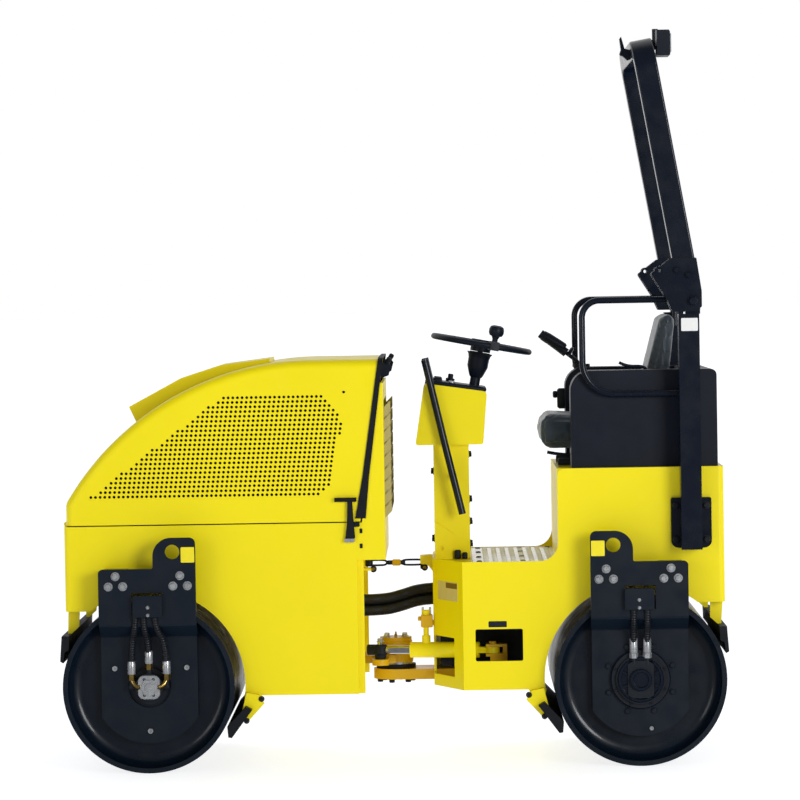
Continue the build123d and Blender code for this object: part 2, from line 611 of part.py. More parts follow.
def mesh_outline():
    """Side outline of the hood's ventilated field."""
    return outline([(1013.0, MESH_LOW_Z), (556.0, MESH_TOP_Z), (222.0, MESH_TOP_Z), (176.0, MESH_TOP_Z - 37.0),
                    (150.0, MESH_TOP_Z - 89.0), (188.0, MESH_LOW_Z + 44.0), (226.0, MESH_LOW_Z)],
                   [10.0, 20.0, 20.0, 20.0, 30.0, 25.0, 20.0])


def hood_mesh_panel():
    """Left ventilated panel, flush in the hood's side."""
    return side_sheet(mesh_outline(), (FRAME_HALF_Y - HOOD_SHEET, FRAME_HALF_Y))


def hood_shell():
    """Curved sheet hood, open below and behind, with its side windows and two hinge knuckles."""
    hood = hood_body(0.0, 0.0) - hood_body(HOOD_SHEET, 120.0)
    hood -= side_sheet(mesh_outline(), (-2 * FRAME_HALF_Y, 2 * FRAME_HALF_Y))
    for side in (-1, 1):
        y_span = sorted((side * (HINGE_Y - HINGE_KNUCKLE_LENGTH), side * (HINGE_Y - 1.0)))
        hood += rod_between((HINGE_X, y_span[0], HINGE_Z), (HINGE_X, y_span[1], HINGE_Z), HINGE_KNUCKLE_R)
        hood += span_box((HOOD_FRONT_X - HOOD_SHEET, HINGE_X), y_span, (HINGE_Z + 1.0, HINGE_Z + HINGE_KNUCKLE_R))
        hood -= rod_between((HINGE_X, y_span[0] - 5.0, HINGE_Z), (HINGE_X, y_span[1] + 5.0, HINGE_Z),
                            HINGE_PIN_R + RUN_CLEAR)
    return hood


def hood_scoop():
    """Raised air intake on the hood's slope, open towards the front."""
    profile = outline([(850.0, 1040.0), (844.0, 1130.0), (870.0, 1186.0), (697.0, 1278.0), (565.0, 1319.0),
                       (400.0, 1339.0), (390.0, 1250.0)])
    scoop = side_sheet(profile, (-SCOOP_HALF_Y, SCOOP_HALF_Y))
    inner_half = SCOOP_HALF_Y - HOOD_SHEET
    scoop -= side_sheet(Pos(24.6, -17.6) * profile, (-inner_half, inner_half))
    return scoop - hood_body(0.0, 0.0)


def hood_seal():
    """Rubber edge strip along both slanted rear edges and across the top."""
    half = SEAL_WIDTH / 2
    places = [(HOOD_LOW_Z + 10.0, half + SEAL_FLARE / 2), (HOOD_LOW_Z + 145.0, half), (HOOD_TOP_Z + SEAL_THICK, half - 3.0)]
    band = outline([(hood_rear_x(z) - reach, z) for z, reach in places]
                   + [(hood_rear_x(z) + reach, z) for z, reach in reversed(places)])
    outer_y = FRAME_HALF_Y + SEAL_THICK
    frame = side_sheet(band, (-outer_y, outer_y))
    frame = fillet([edge for edge in frame.edges() if edge.center().Z > HOOD_TOP_Z
                    and abs(abs(edge.center().Y) - outer_y) < 0.01], HOOD_EDGE_R)
    hollow = hood_body(0.0, 0.0) + hood_body(0.0, 0.0).moved(Location((-2 * SEAL_WIDTH, 0, 0)))
    hollow += span_box((-200.0, 400.0), (-FRAME_HALF_Y, FRAME_HALF_Y), (500.0, HOOD_TOP_Z - HOOD_EDGE_R))
    return frame - hollow


def hood_latch():
    """Rubber pull latch on the left: strap over the parting line and a cross bar."""
    x, z = HOOD_REAR_LOW_X, FRONT_TOP_Z
    strap = outline([(x + 17.0, z - 50.0), (x + 49.0, z - 50.0), (x + 43.0, z - 2.0), (x + 41.0, z + 72.0),
                     (x + 25.0, z + 72.0), (x + 21.0, z - 2.0)])
    latch = side_sheet(strap, (FRAME_HALF_Y + SEAT_GAP, FRAME_HALF_Y + 14.0))
    bar_y, bar_z = FRAME_HALF_Y + 10.0, z + 76.0
    latch += rod_between((x + 11.0, bar_y, bar_z), (x + 83.0, bar_y, bar_z), 7.0)
    return latch


# Centre section

def centre_hub():
    """Steering hub with its cap, the tongue, the cylinder's lug and the oscillation shaft."""
    hub = rod_between((0, 0, TONGUE_LOW_Z), (0, 0, HUB_TOP_Z), HUB_R)
    hub += rod_between((0, 0, HUB_TOP_Z), (0, 0, HUB_TOP_Z + CAP_HEIGHT), CAP_R)
    tongue_end = OSC_HOUSING_X[0] - 5.0
    tongue_z = (TONGUE_LOW_Z, TONGUE_TOP_Z)
    hub += span_box((0, tongue_end), (-ARM_R, ARM_R), tongue_z)
    lug_half = ROD_EYE_R + 10.0
    hub += span_box((ROD_PIN[0] - lug_half, ROD_PIN[0] + lug_half), (0, ROD_PIN[1]), (TONGUE_LOW_Z, LUG_TOP_Z))
    hub += rod_between((*ROD_PIN, TONGUE_LOW_Z), (*ROD_PIN, LUG_TOP_Z), lug_half)
    hub += rod_between((tongue_end - 12.0, 0, OSC_Z), (OSC_HOUSING_X[1] + 16.0, 0, OSC_Z), OSC_SHAFT_R)
    hub += rod_between((OSC_HOUSING_X[1] + 2.0, 0, OSC_Z), (OSC_HOUSING_X[1] + 16.0, 0, OSC_Z), OSC_SHAFT_R + 14.0)
    hub -= rod_between((0, 0, TONGUE_LOW_Z - 5.0), (0, 0, HUB_TOP_Z - 2.0), PIVOT_PIN_R + RUN_CLEAR)
    return hub


def pivot_flange():
    """Steel thrust flange under the hub."""
    flange = rod_between((0, 0, FLANGE_LOW_Z), (0, 0, TONGUE_LOW_Z), FLANGE_R)
    return flange - rod_between((0, 0, FLANGE_LOW_Z - 5.0), (0, 0, TONGUE_LOW_Z + 5.0), PIVOT_PIN_R + RUN_CLEAR)


def pivot_washer():
    """Rubber-sealed washer on the arm."""
    washer = rod_between((0, 0, ARM_TOP_Z), (0, 0, ARM_TOP_Z + WASHER_THICK), WASHER_R)
    return washer - rod_between((0, 0, 0), (0, 0, TONGUE_LOW_Z), PIVOT_PIN_R + SEAT_GAP)


def pivot_arm():
    """Lower arm of the rear frame with the steering pin and the cylinder's clevis."""
    back = BARREL_PIN[0] - 80.0
    plan = Circle(ARM_R) + Pos(back / 2, 0) * Rectangle(-back, 2 * ARM_R)
    wing_y = BARREL_PIN[1] + 40.0
    plan += Pos(back + 65.0, wing_y / 2) * Rectangle(130.0, wing_y)
    arm = plan_sheet(plan, (ARM_LOW_Z, ARM_TOP_Z))
    arm += rod_between((0, 0, ARM_TOP_Z), (0, 0, HUB_TOP_Z - 6.0), PIVOT_PIN_R)
    x, y = BARREL_PIN
    block_x = (x - BARREL_EYE_R - 24.0, x + BARREL_EYE_R - 2.0)
    block_y = (y - BARREL_EYE_R, y + BARREL_EYE_R)
    reach = CLEVIS_HALF_GAP + CLEVIS_CHEEK
    for side in (-1, 1):
        arm += span_box(block_x, block_y, (CYLINDER_Z + side * CLEVIS_HALF_GAP, CYLINDER_Z + side * reach))
    arm += span_box((block_x[0], block_x[0] + 14.0), block_y, (ARM_TOP_Z, CYLINDER_Z + reach))
    arm += span_box((block_x[0], x + 8.0), block_y, (ARM_TOP_Z, CYLINDER_Z - CLEVIS_HALF_GAP))
    arm += rod_between((x, y, CYLINDER_Z - CLEVIS_HALF_GAP), (x, y, CYLINDER_Z + reach + 8.0), BARREL_PIN_R)
    return arm


# Steering cylinder

def place_cylinder(part):
    """Move a piece drawn along X from the barrel's pin to its place."""
    return Pos(*BARREL_PIN, CYLINDER_Z) * Rot(0, 0, CYLINDER_ANGLE) * part


def cylinder_barrel():
    """Barrel with its rear eye, the riser pipe of its front port and the bore for the rod."""
    eye_half = CLEVIS_HALF_GAP - 1.0
    barrel = rod_between((0, 0, -eye_half), (0, 0, eye_half), BARREL_EYE_R)
    barrel += span_box((BARREL_PIN_R + 3.0, BARREL_EYE_R + 26.0), (12.0 - BARREL_EYE_R, BARREL_EYE_R - 12.0),
                       (-eye_half, eye_half))
    barrel += rod_between((BARREL_EYE_R + 21.0, 0, 0), (BARREL_LENGTH, 0, 0), BARREL_R)
    barrel += rod_between((BARREL_EYE_R + 50.0, 0, BARREL_R - 6.0), (BARREL_EYE_R + 50.0, 0, BARREL_R + 16.0), 10.0)
    riser_x, riser_top = BARREL_LENGTH - RISER_PIPE_BACK, BARREL_R + RISER_PIPE_HEIGHT
    barrel += rod_between((riser_x, 0, BARREL_R - 6.0), (riser_x, 0, riser_top), 9.0)
    barrel += rod_between((riser_x, 0, BARREL_R - 6.0), (riser_x, 0, BARREL_R + 22.0), 14.0)
    barrel += rod_between((riser_x, 0, riser_top - 30.0), (riser_x, 0, riser_top), 13.0)
    bore_start = BARREL_LENGTH - 2 * ROD_STROKE - 40.0
    barrel -= rod_between((bore_start, 0, 0), (BARREL_LENGTH + 5.0, 0, 0), ROD_R + RUN_CLEAR)
    barrel -= rod_between((0, 0, -30.0), (0, 0, 30.0), BARREL_PIN_R + RUN_CLEAR)
    return place_cylinder(barrel)


def cylinder_rod():
    """Chrome rod with its eye and the bolt that drops to the tongue's lug."""
    rod = rod_between((BARREL_LENGTH - ROD_STROKE - 30.0, 0, 0), (CYLINDER_LENGTH - 10.0, 0, 0), ROD_R)
    lug_top = LUG_TOP_Z - CYLINDER_Z
    rod += rod_between((CYLINDER_LENGTH, 0, lug_top + 2.0), (CYLINDER_LENGTH, 0, 17.0), ROD_EYE_R)
    rod += rod_between((CYLINDER_LENGTH, 0, lug_top + 0.6), (CYLINDER_LENGTH, 0, 26.0), 10.0)
    return place_cylinder(rod)


# Rear frame

def rear_plan(inset):
    """Plan outline of the rear frame's front part with its two angled corners."""
    back = RISER_X - 2 * SHEET
    plan = outline([(REAR_WALL_X, -REAR_WALL_HALF_Y), (REAR_WALL_X, REAR_WALL_HALF_Y),
                    (REAR_CORNER_X, FRAME_HALF_Y), (back, FRAME_HALF_Y),
                    (back, -FRAME_HALF_Y), (REAR_CORNER_X, -FRAME_HALF_Y)])
    return plan if inset == 0 else offset(plan, amount=-inset, kind=Kind.INTERSECTION)


def rear_front_wall():
    """Front wall and angled corner panels, open for the arm, the cylinder and the hoses."""
    ring = rear_plan(0) - rear_plan(SHEET)
    ring -= Pos(REAR_CORNER_X - 500.0, 0) * Rectangle(1000.0, 4 * FRAME_HALF_Y)
    wall = plan_sheet(ring, (REAR_BOTTOM_Z, FLOOR_Z))
    wall -= span_box((-300.0, 0), (-ARM_R, ARM_R), (ARM_LOW_Z, ARM_TOP_Z))
    wall -= span_box((-300.0, 0), (110.0, FRAME_HALF_Y - 62.0), (CYLINDER_Z - 78.0, CYLINDER_Z + 50.0))
    wall -= rod_between((-300.0, 0, BUNDLE_REAR_Z), (0, 0, BUNDLE_REAR_Z), BUNDLE_R + 0.5)
    return wall


def rear_side_panel():
    """Left side sheet with the step-in floor line, service window and drum arch."""
    end_x = REAR_BACK_X + CORNER_R
    points = [(REAR_CORNER_X, REAR_BOTTOM_Z), (REAR_CORNER_X, FLOOR_Z), (RISER_X, FLOOR_Z), (RISER_X, REAR_TOP_Z),
              (end_x, REAR_TOP_Z), (end_x, SKIRT_Z), (-AXLE_X, SKIRT_Z), (-AXLE_X, REAR_BOTTOM_Z)]
    sketch = outline(points, [0, 0, RISER_CORNER_R, 22.0, 0, 0, 0, 0])
    window_w, window_h = WINDOW_X[1] - WINDOW_X[0], WINDOW_Z[1] - WINDOW_Z[0]
    sketch -= Pos(sum(WINDOW_X) / 2, sum(WINDOW_Z) / 2) * RectangleRounded(window_w, window_h, 6.0)
    return side_sheet(sketch, (INNER_HALF_Y, FRAME_HALF_Y)) - arch_cut(-AXLE_X)


def rear_back_wall():
    """Rear sheet with its bent corners and the outer wiper's hangers."""
    wall = turned(end_wrap(-REAR_BACK_X, (SKIRT_Z, REAR_TOP_Z)))
    for strip in scraper_bracket_outer(-REAR_BACK_X):
        wall += turned(strip)
    return wall


def rear_belly_plate():
    """Bottom plate in front of the rear drum that carries the pivot arm, with the inner wiper's bar."""
    plate = plan_sheet(rear_plan(SHEET), (ARM_LOW_Z - SHEET, ARM_LOW_Z))
    plate &= span_box((-484.0, 0), (-FRAME_HALF_Y, FRAME_HALF_Y), (0, FLOOR_Z))
    return plate


def floor_pan():
    """Sheet under the operator's floor."""
    pan = plan_sheet(rear_plan(SHEET), (FLOOR_PAN_TOP_Z - SHEET, FLOOR_PAN_TOP_Z))
    return pan


def floor_plate():
    """Chequer plate that the operator's feet stand on."""
    plate = plan_sheet(rear_plan(SHEET + SEAT_GAP), (FLOOR_PAN_TOP_Z, FLOOR_PAN_TOP_Z + CHEQUER_THICK))
    plate &= span_box((RISER_X, PEDESTAL_X - PEDESTAL_DEPTH - 6.0), (-FRAME_HALF_Y, FRAME_HALF_Y), (0, REAR_TOP_Z))
    return plate


def rear_deck():
    """Riser behind the operator's feet and the top deck under the seat, one bent sheet."""
    y_span = (-INNER_HALF_Y, INNER_HALF_Y)
    deck = span_box((RISER_X - SHEET, RISER_X), y_span, (FLOOR_PAN_TOP_Z, REAR_TOP_Z))
    top = end_plate(SHEET - RISER_X, -REAR_BACK_X - SHEET, (REAR_TOP_Z - SHEET, REAR_TOP_Z))
    return deck + turned(top)


def rear_drum_cover():
    """Plate over the rear drum that closes the body from below, stepped up to the floor pan."""
    y_span = (-INNER_HALF_Y, INNER_HALF_Y)
    front = RISER_X - SHEET
    cover = turned(end_plate(-front, -REAR_BACK_X - SHEET, (DECK_Z, DECK_Z + SHEET)))
    cover += span_box((front - SHEET, front), y_span, (DECK_Z, FLOOR_PAN_TOP_Z - SHEET))
    return cover


# Lock bar and hose bundle across the articulation


def hose_bundle():
    """Sleeved bundle of hoses from the rear wall to the front wall."""
    route = [(-165.0, 0, BUNDLE_REAR_Z), (-90.0, 0, BUNDLE_REAR_Z), (40.0, 0, BUNDLE_FRONT_Z),
             (140.0, 0, BUNDLE_FRONT_Z)]
    return bent_tube(route, [150.0, 200.0], BUNDLE_R)


def lock_bar():
    """Transport lock for the articulation, fixed to the rear wall, its front eye free."""
    pin_x, eye_x = REAR_WALL_X + 31.0, FRONT_REAR_X - 32.0
    middle = (pin_x + eye_x) / 2
    bar = rod_between((REAR_WALL_X + 9.0, 0, LOCK_Z), (eye_x + 14.0, 0, LOCK_Z), 9.0)
    bar += rod_between((middle - 20.0, 0, LOCK_Z), (middle + 20.0, 0, LOCK_Z), 14.0)
    bar += rod_between((pin_x, 0, LOCK_Z - 23.0), (pin_x, 0, LOCK_Z + 17.0), 11.0)
    bar += span_box((REAR_WALL_X, REAR_WALL_X + 19.0), (-22.0, 22.0), (LOCK_Z - 15.0, LOCK_Z + 17.0))
    bar += rod_between((eye_x, 0, LOCK_Z - 12.0), (eye_x, 0, LOCK_Z + 12.0), 13.0)
    return bar


# Operator's place

def pedestal():
    """Box post that carries the console, with a gusset at each foot."""
    post = span_box((PEDESTAL_X - PEDESTAL_DEPTH, PEDESTAL_X), (-PEDESTAL_HALF_Y, PEDESTAL_HALF_Y),
                    (FLOOR_PAN_TOP_Z, CONSOLE_LOW_Z))
    back = PEDESTAL_X - GUSSET_DEPTH
    gusset = outline([(PEDESTAL_X, FLOOR_PAN_TOP_Z), (PEDESTAL_X, FLOOR_PAN_TOP_Z + 126.0),
                      (back, FLOOR_PAN_TOP_Z + 86.0), (back, FLOOR_PAN_TOP_Z)])
    gusset -= Pos(PEDESTAL_X - 23.0, FLOOR_PAN_TOP_Z + 37.0) * Circle(7.0)
    for side in (-1, 1):
        post += side_sheet(gusset, (side * PEDESTAL_HALF_Y, side * (PEDESTAL_HALF_Y + SHEET)))
    return post


def console_box():
    """Folded console box under the steering wheel."""
    rear = REAR_WALL_X - WHEEL_BACK
    points = [(REAR_WALL_X + 51.0, CONSOLE_LOW_Z), (REAR_WALL_X + 19.0, CONSOLE_LOW_Z + 206.0),
              (rear - 15.0, CONSOLE_LOW_Z + 175.0), (rear, CONSOLE_LOW_Z)]
    return side_sheet(outline(points, [8.0, 14.0, 14.0, 8.0]), (-CONSOLE_HALF_Y, CONSOLE_HALF_Y))


def wheel_plane():
    """Plane of the steering wheel, its normal along the column."""
    tilt = radians(WHEEL_TILT)
    return Plane(origin=WHEEL_CENTRE, x_dir=(cos(tilt), 0, sin(tilt)), z_dir=(-sin(tilt), 0, cos(tilt)))


def steering_column():
    """Column tube out of the console with its boot and the wheel's shaft."""
    column = extrude(Circle(COLUMN_R), amount=137.0).moved(Location((0, 0, -165.0)))
    column += extrude(Circle(BOOT_R), amount=47.0).moved(Location((0, 0, -75.0)))
    column += extrude(Circle(COLUMN_SHAFT_R), amount=44.0).moved(Location((0, 0, -36.0)))
    column = wheel_plane() * column
    return column - console_box()


def steering_wheel():
    """Rim, three flat spokes, hub and a spinner knob on its clamp."""
    wheel = revolve(Plane.XZ * (Pos(WHEEL_RIM_R, 0) * Circle(WHEEL_TUBE_R)), axis=Axis.Z)
    knob_angle = 104.5
    knob = (WHEEL_RIM_R * cos(radians(knob_angle)), WHEEL_RIM_R * sin(radians(knob_angle)))
    wheel += Pos(*knob, 2.0) * Rot(0, 0, knob_angle - 90.0) * Box(30.0, 26.0, 30.0)
    spoke = Pos(WHEEL_RIM_R / 2 - 2.0, 0, 0) * Box(WHEEL_RIM_R - 4.0, 16.0, 7.0)
    for angle in (90.0, 210.0, 330.0):
        wheel += Rot(0, 0, angle) * spoke
    wheel += rod_between((0, 0, -26.0), (0, 0, 14.0), 34.0)
    wheel += rod_between((*knob, 14.0), (*knob, 44.0), 8.0)
    wheel += rod_between((*knob, 36.0), (*knob, 66.0), 20.0)
    wheel -= extrude(Circle(COLUMN_SHAFT_R + RUN_CLEAR), amount=40.0).moved(Location((0, 0, -30.0)))
    return wheel_plane() * wheel


def grab_bar():
    """Left grab bar beside the console, on two stand-offs."""
    x, z = REAR_WALL_X, CONSOLE_LOW_Z
    points = [(x + 16.0, GRAB_Y, z + 285.0), (x - 47.0, GRAB_Y, z + 5.0), (x - 102.0, GRAB_Y, z - 229.0)]
    bar = bent_tube(points, [200.0], GRAB_R)
    bar += rod_between((x - 18.0, CONSOLE_HALF_Y, z + 134.0), (x - 18.0, GRAB_Y, z + 134.0), 8.0)
    bar += rod_between((x - 72.0, PEDESTAL_HALF_Y, z - 103.0), (x - 72.0, GRAB_Y, z - 103.0), 8.0)
    return bar


def side_console():
    """Black moulding round the seat: two arms joined behind."""
    x_span = SIDE_CONSOLE_X
    z_span = (REAR_TOP_Z, SIDE_CONSOLE_TOP_Z)
    points = [(x_span[0], z_span[0]), (x_span[1], z_span[0]), (x_span[1], z_span[1]), (x_span[0], z_span[1])]
    body = side_sheet(outline(points, [0, 0, 66.0, 20.0]), (-SIDE_CONSOLE_HALF_Y, SIDE_CONSOLE_HALF_Y))
    well = span_box((SEAT_WELL_BACK_X, x_span[1] + 50.0), (-SEAT_WELL_HALF_Y, SEAT_WELL_HALF_Y),
                    (REAR_TOP_Z - 1.0, SIDE_CONSOLE_TOP_Z + 50.0))
    return body - well


def seat_base():
    """Pan that carries the seat."""
    half = SEAT_WELL_HALF_Y - 30.0
    return span_box((SEAT_WELL_BACK_X + 30.0, SEAT_X - 12.0), (-half, half), (REAR_TOP_Z, SEAT_BASE_Z))


def seat_cushion():
    """Plain body of the seat cushion."""
    low = SEAT_BASE_Z + SEAT_GAP
    front, back = SEAT_X + 100.0, SEAT_WELL_BACK_X + 60.0
    points = [(front, low), (back, low), (back, SEAT_BASE_Z + 90.0), (front, SEAT_BASE_Z + 112.0)]
    half = SEAT_WELL_HALF_Y - 13.0
    return side_sheet(outline(points, [30.0, 10.0, 20.0, 30.0]), (-half, half))


def seat_back():
    """Plain body of the backrest, leaning back."""
    back, low = SEAT_WELL_BACK_X + 60.0, SEAT_BASE_Z + 92.0
    points = [(back + 88.0, low + 2.0), (back, low), (back - 43.0, low + 368.0), (back - 8.0, low + 372.0)]
    half = SEAT_WELL_HALF_Y - 25.0
    return side_sheet(outline(points, [20.0, 10.0, 14.0, 14.0]), (-half, half))


def drive_lever():
    """Travel lever on the right arm of the side console."""
    x, y, z = SEAT_X, (SIDE_CONSOLE_HALF_Y + SEAT_WELL_HALF_Y) / -2, SIDE_CONSOLE_TOP_Z
    lever = bent_tube([(x - 55.0, y, z + 6.0), (x - 40.0, y, z + 23.0), (x + 68.0, y, z + 107.0)], [30.0], 7.0)
    lever += rod_between((x - 8.0, y, z + 47.9), (x + 80.0, y, z + 116.3), 15.0)
    lever += rod_between((x - 58.0, y, z), (x - 58.0, y, z + 10.0), 30.0)
    return lever


def handrail():
    """Left handrail: a bent tube with two pads on the roll bar's post."""
    back, front = FOLD_X + 10.0, FOLD_X + 357.0
    top, low = FOLD_Z + 6.0, FOLD_Z - 300.0
    points = [(back, RAIL_Y, FOLD_Z - 88.0), (back, RAIL_Y, top), (front, RAIL_Y, top), (front, RAIL_Y, low),
              (back, RAIL_Y, low)]
    rail = bent_tube(points, [30.0, 57.0, 105.0], RAIL_R)
    for z in (FOLD_Z - 68.0, low):
        rail += span_box((back - 12.0, back + 12.0), (RAIL_Y, POST_Y[0]), (z - 9.0, z + 9.0))
    return rail


def rops_post():
    """Left lower post with its foot plate, hinge lug and fold pin."""
    post = span_box(POST_X, POST_Y, (POST_LOW_Z, POST_TOP_Z))
    foot_x, foot_z = (POST_X[0] - 35.0, POST_X[1] + 30.0), POST_LOW_Z + 2.0
    foot = outline([(foot_x[0], foot_z), (foot_x[1], foot_z), (foot_x[1], foot_z + 164.0), (foot_x[0], foot_z + 164.0)],
                   [24.0, 24.0, 6.0, 6.0])
    post += side_sheet(foot, (FRAME_HALF_Y, POST_Y[0]))
    lug_y = (ARCH_Y[0] + 4.0, ARCH_Y[1] - 4.0)
    post += span_box((FOLD_X - FOLD_LUG_R, FOLD_X + FOLD_LUG_R), lug_y, (POST_TOP_Z, FOLD_Z))
    post += rod_between((FOLD_X, lug_y[0], FOLD_Z), (FOLD_X, lug_y[1], FOLD_Z), FOLD_LUG_R)
    post += rod_between((FOLD_X, CHEEK_Y[0] - 2.0, FOLD_Z), (FOLD_X, CHEEK_Y[1] + 4.0, FOLD_Z), FOLD_PIN_R)
    return post


def arch_plane():
    """Leaning plane of the roll bar: first along Y, then up the arms, with its normal to the front."""
    lean = radians(ARCH_LEAN)
    return Plane(origin=(ARCH_LOW_X, 0, ARCH_LOW_Z), x_dir=(0, 1, 0), z_dir=(cos(lean), 0, -sin(lean)))


def rops_arch():
    """Folding upper part of the roll bar: one bent square tube with its hinge cheeks."""
    inner, outer = ARCH_Y
    tube = outer - inner
    bow = outline([(-outer, 0), (outer, 0), (outer, ARCH_LENGTH), (-outer, ARCH_LENGTH)],
                  [0, 0, ARCH_BEND_R, ARCH_BEND_R])
    bow -= outline([(-inner, -10.0), (inner, -10.0), (inner, ARCH_LENGTH - tube), (-inner, ARCH_LENGTH - tube)],
                   [0, 0, ARCH_BEND_R - tube, ARCH_BEND_R - tube])
    arch = extrude(arch_plane() * bow, amount=ARCH_WIDTH / 2, both=True)
    arch = fillet(arch.edges(), ARCH_EDGE_R)
    corners = ((69, 140), (136, 90), (88, 14), (67, -34), (-11, -34), (-29, -18), (-29, 32), (-13, 140))
    cheek = outline([(FOLD_X + u, FOLD_Z + w) for u, w in corners], [4.0, 8.0, 6.0, 4.0, 4.0, 4.0, 4.0, 4.0])
    cheek -= Pos(FOLD_X, FOLD_Z) * Circle(FOLD_PIN_R + RUN_CLEAR)
    cheek -= Pos(FOLD_X + 112.0, FOLD_Z + 102.0) * Circle(FOLD_PIN_R - 1.0)
    for y in (CHEEK_Y[0], outer, -inner, -CHEEK_Y[1]):
        arch += side_sheet(cheek, (y, y + CHEEK_THICK))
    return arch


def work_lamp():
    """Rear work lamp behind the top bar with its bracket."""
    back = -ARCH_WIDTH / 2
    lamp = span_box((LAMP_Y - 30.0, LAMP_Y + 30.0), (ARCH_LENGTH - 50.0, ARCH_LENGTH - 6.0), (back - 6.0, back))
    lamp += span_box((LAMP_Y - 10.0, LAMP_Y + 10.0), (ARCH_LENGTH - 38.0, ARCH_LENGTH - 26.0), (back - 30.0, back - 6.0))
    lamp = arch_plane() * lamp
    lamp += span_box((BEACON_X - 37.0, BEACON_X + 3.0), (LAMP_Y - 55.0, LAMP_Y + 55.0),
                     (ARCH_TOP_Z - 58.0, ARCH_TOP_Z + 26.0))
    return lamp


def beacon_stalk():
    """Pole for a beacon on a shelf behind the top bar."""
    back = -ARCH_WIDTH / 2
    y_span = (BEACON_Y - 20.0, BEACON_Y + 20.0)
    stalk = arch_plane() * span_box(y_span, (ARCH_LENGTH - 52.0, ARCH_LENGTH - 16.0), (back - 8.0, back))
    stalk += span_box((BEACON_X - 13.0, BEACON_X + 17.0), y_span, (BEACON_Z - 8.0, BEACON_Z))
    stalk += rod_between((BEACON_X, BEACON_Y, BEACON_Z - 4.0), (BEACON_X, BEACON_Y, BEACON_Z + BEACON_PIN_LENGTH),
                         BEACON_PIN_R)
    return stalk


def build():
    """Make every node and write its file."""
    os.makedirs("parts", exist_ok=True)
    front_drum = drum()
    save("front_drum", front_drum)
    save("rear_drum", turned(front_drum))

    left_plate = drum_plate()
    plates = [left_plate, mirrored(left_plate)]
    save("front_drum_plates", *plates)
    save("rear_drum_plates", *[turned(plate) for plate in plates])
    save("front_vibration_motor", vibration_motor())
    save("front_drive_motor", mirrored(drive_motor()))
    save("rear_vibration_motor", turned(vibration_motor()))
    save("rear_drive_motor", turned(mirrored(drive_motor())))
    hoses = motor_hoses()
    save("front_motor_hoses", *hoses)
    save("rear_motor_hoses", *[turned(hose) for hose in hoses])
    blades = scraper_blades()
    save("front_scraper_blades", *blades)
    save("rear_scraper_blades", *[turned(blade) for blade in blades])

    panel = front_side_panel()
    save("front_side_panels", panel, mirrored(panel))
    save("front_scraper_bar", scraper_bracket_inner(FRONT_BOTTOM_Z))
    save("front_nose", front_nose())
    save("front_rear_wall", front_rear_wall())
    save("oscillation_bearing", oscillation_bearing())
    save("engine_deck", engine_deck())
    save("engine_block", engine_block())
    save("radiator_housing", radiator_housing())
    save("radiator_core", radiator_core())
    save("radiator_grille", radiator_grille())

    save("hood_shell", hood_shell())
    panel = hood_mesh_panel()
    save("hood_mesh_panels", panel, mirrored(panel))
    save("hood_scoop", hood_scoop())
    save("hood_seal", hood_seal())
    latch = hood_latch()
    save("hood_latches", latch, mirrored(latch))

    save("centre_hub", centre_hub())
    save("pivot_flange", pivot_flange())
    save("cylinder_barrel", cylinder_barrel())
    save("cylinder_rod", cylinder_rod())

    panel = rear_side_panel()
    save("rear_side_panels", panel, mirrored(panel))
    save("rear_scraper_bar", turned(scraper_bracket_inner(REAR_BOTTOM_Z)))
    save("rear_front_wall", rear_front_wall())
    save("rear_back_wall", rear_back_wall())
    save("rear_belly_plate", rear_belly_plate())
    save("floor_pan", floor_pan())
    save("floor_plate", floor_plate())
    save("rear_deck", rear_deck())
    save("rear_drum_cover", rear_drum_cover())
    save("pivot_arm", pivot_arm())
    save("pivot_washer", pivot_washer())
    save("lock_bar", lock_bar())
    save("hose_bundle", hose_bundle())

    save("pedestal", pedestal())
    save("console_box", console_box())
    save("steering_column", steering_column())
    save("steering_wheel", steering_wheel())
    bar = grab_bar()
    save("grab_bars", bar, mirrored(bar))
    save("side_console", side_console())
    save("seat_base", seat_base())
    save("seat_cushion", seat_cushion())
    save("seat_back", seat_back())
    save("drive_lever", drive_lever())
    rail = handrail()
    save("handrails", rail, mirrored(rail))
    post = rops_post()
    save("rops_posts", post, mirrored(post))
    save("rops_arch", rops_arch())
    save("work_lamp", work_lamp())
    save("beacon_stalk", beacon_stalk())


build()
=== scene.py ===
"""Looks of a ride-on tandem road roller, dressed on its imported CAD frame."""

import json
import math

import bmesh
import bpy
from bpy.props import FloatProperty, FloatVectorProperty, IntProperty, PointerProperty
from bpy.types import Operator, Panel, PropertyGroup
from mathutils import Matrix, Quaternion, Vector


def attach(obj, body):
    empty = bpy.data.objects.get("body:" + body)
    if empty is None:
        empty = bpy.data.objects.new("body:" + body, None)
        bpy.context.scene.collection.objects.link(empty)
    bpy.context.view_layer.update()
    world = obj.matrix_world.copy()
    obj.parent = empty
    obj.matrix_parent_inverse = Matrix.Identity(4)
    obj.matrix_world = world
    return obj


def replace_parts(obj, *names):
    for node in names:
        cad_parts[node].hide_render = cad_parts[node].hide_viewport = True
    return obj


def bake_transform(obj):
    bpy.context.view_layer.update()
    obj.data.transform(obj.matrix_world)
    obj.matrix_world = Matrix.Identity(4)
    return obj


bl_info = {
    "name": "Road roller dressing",
    "version": (1, 0, 0),
    "blender": (4, 5, 0),
    "location": "View3D > Sidebar > Roller",
    "description": "Finishes, fasteners, hoses, soft pieces and stage for a ride-on tandem road roller",
    "category": "Object",
}

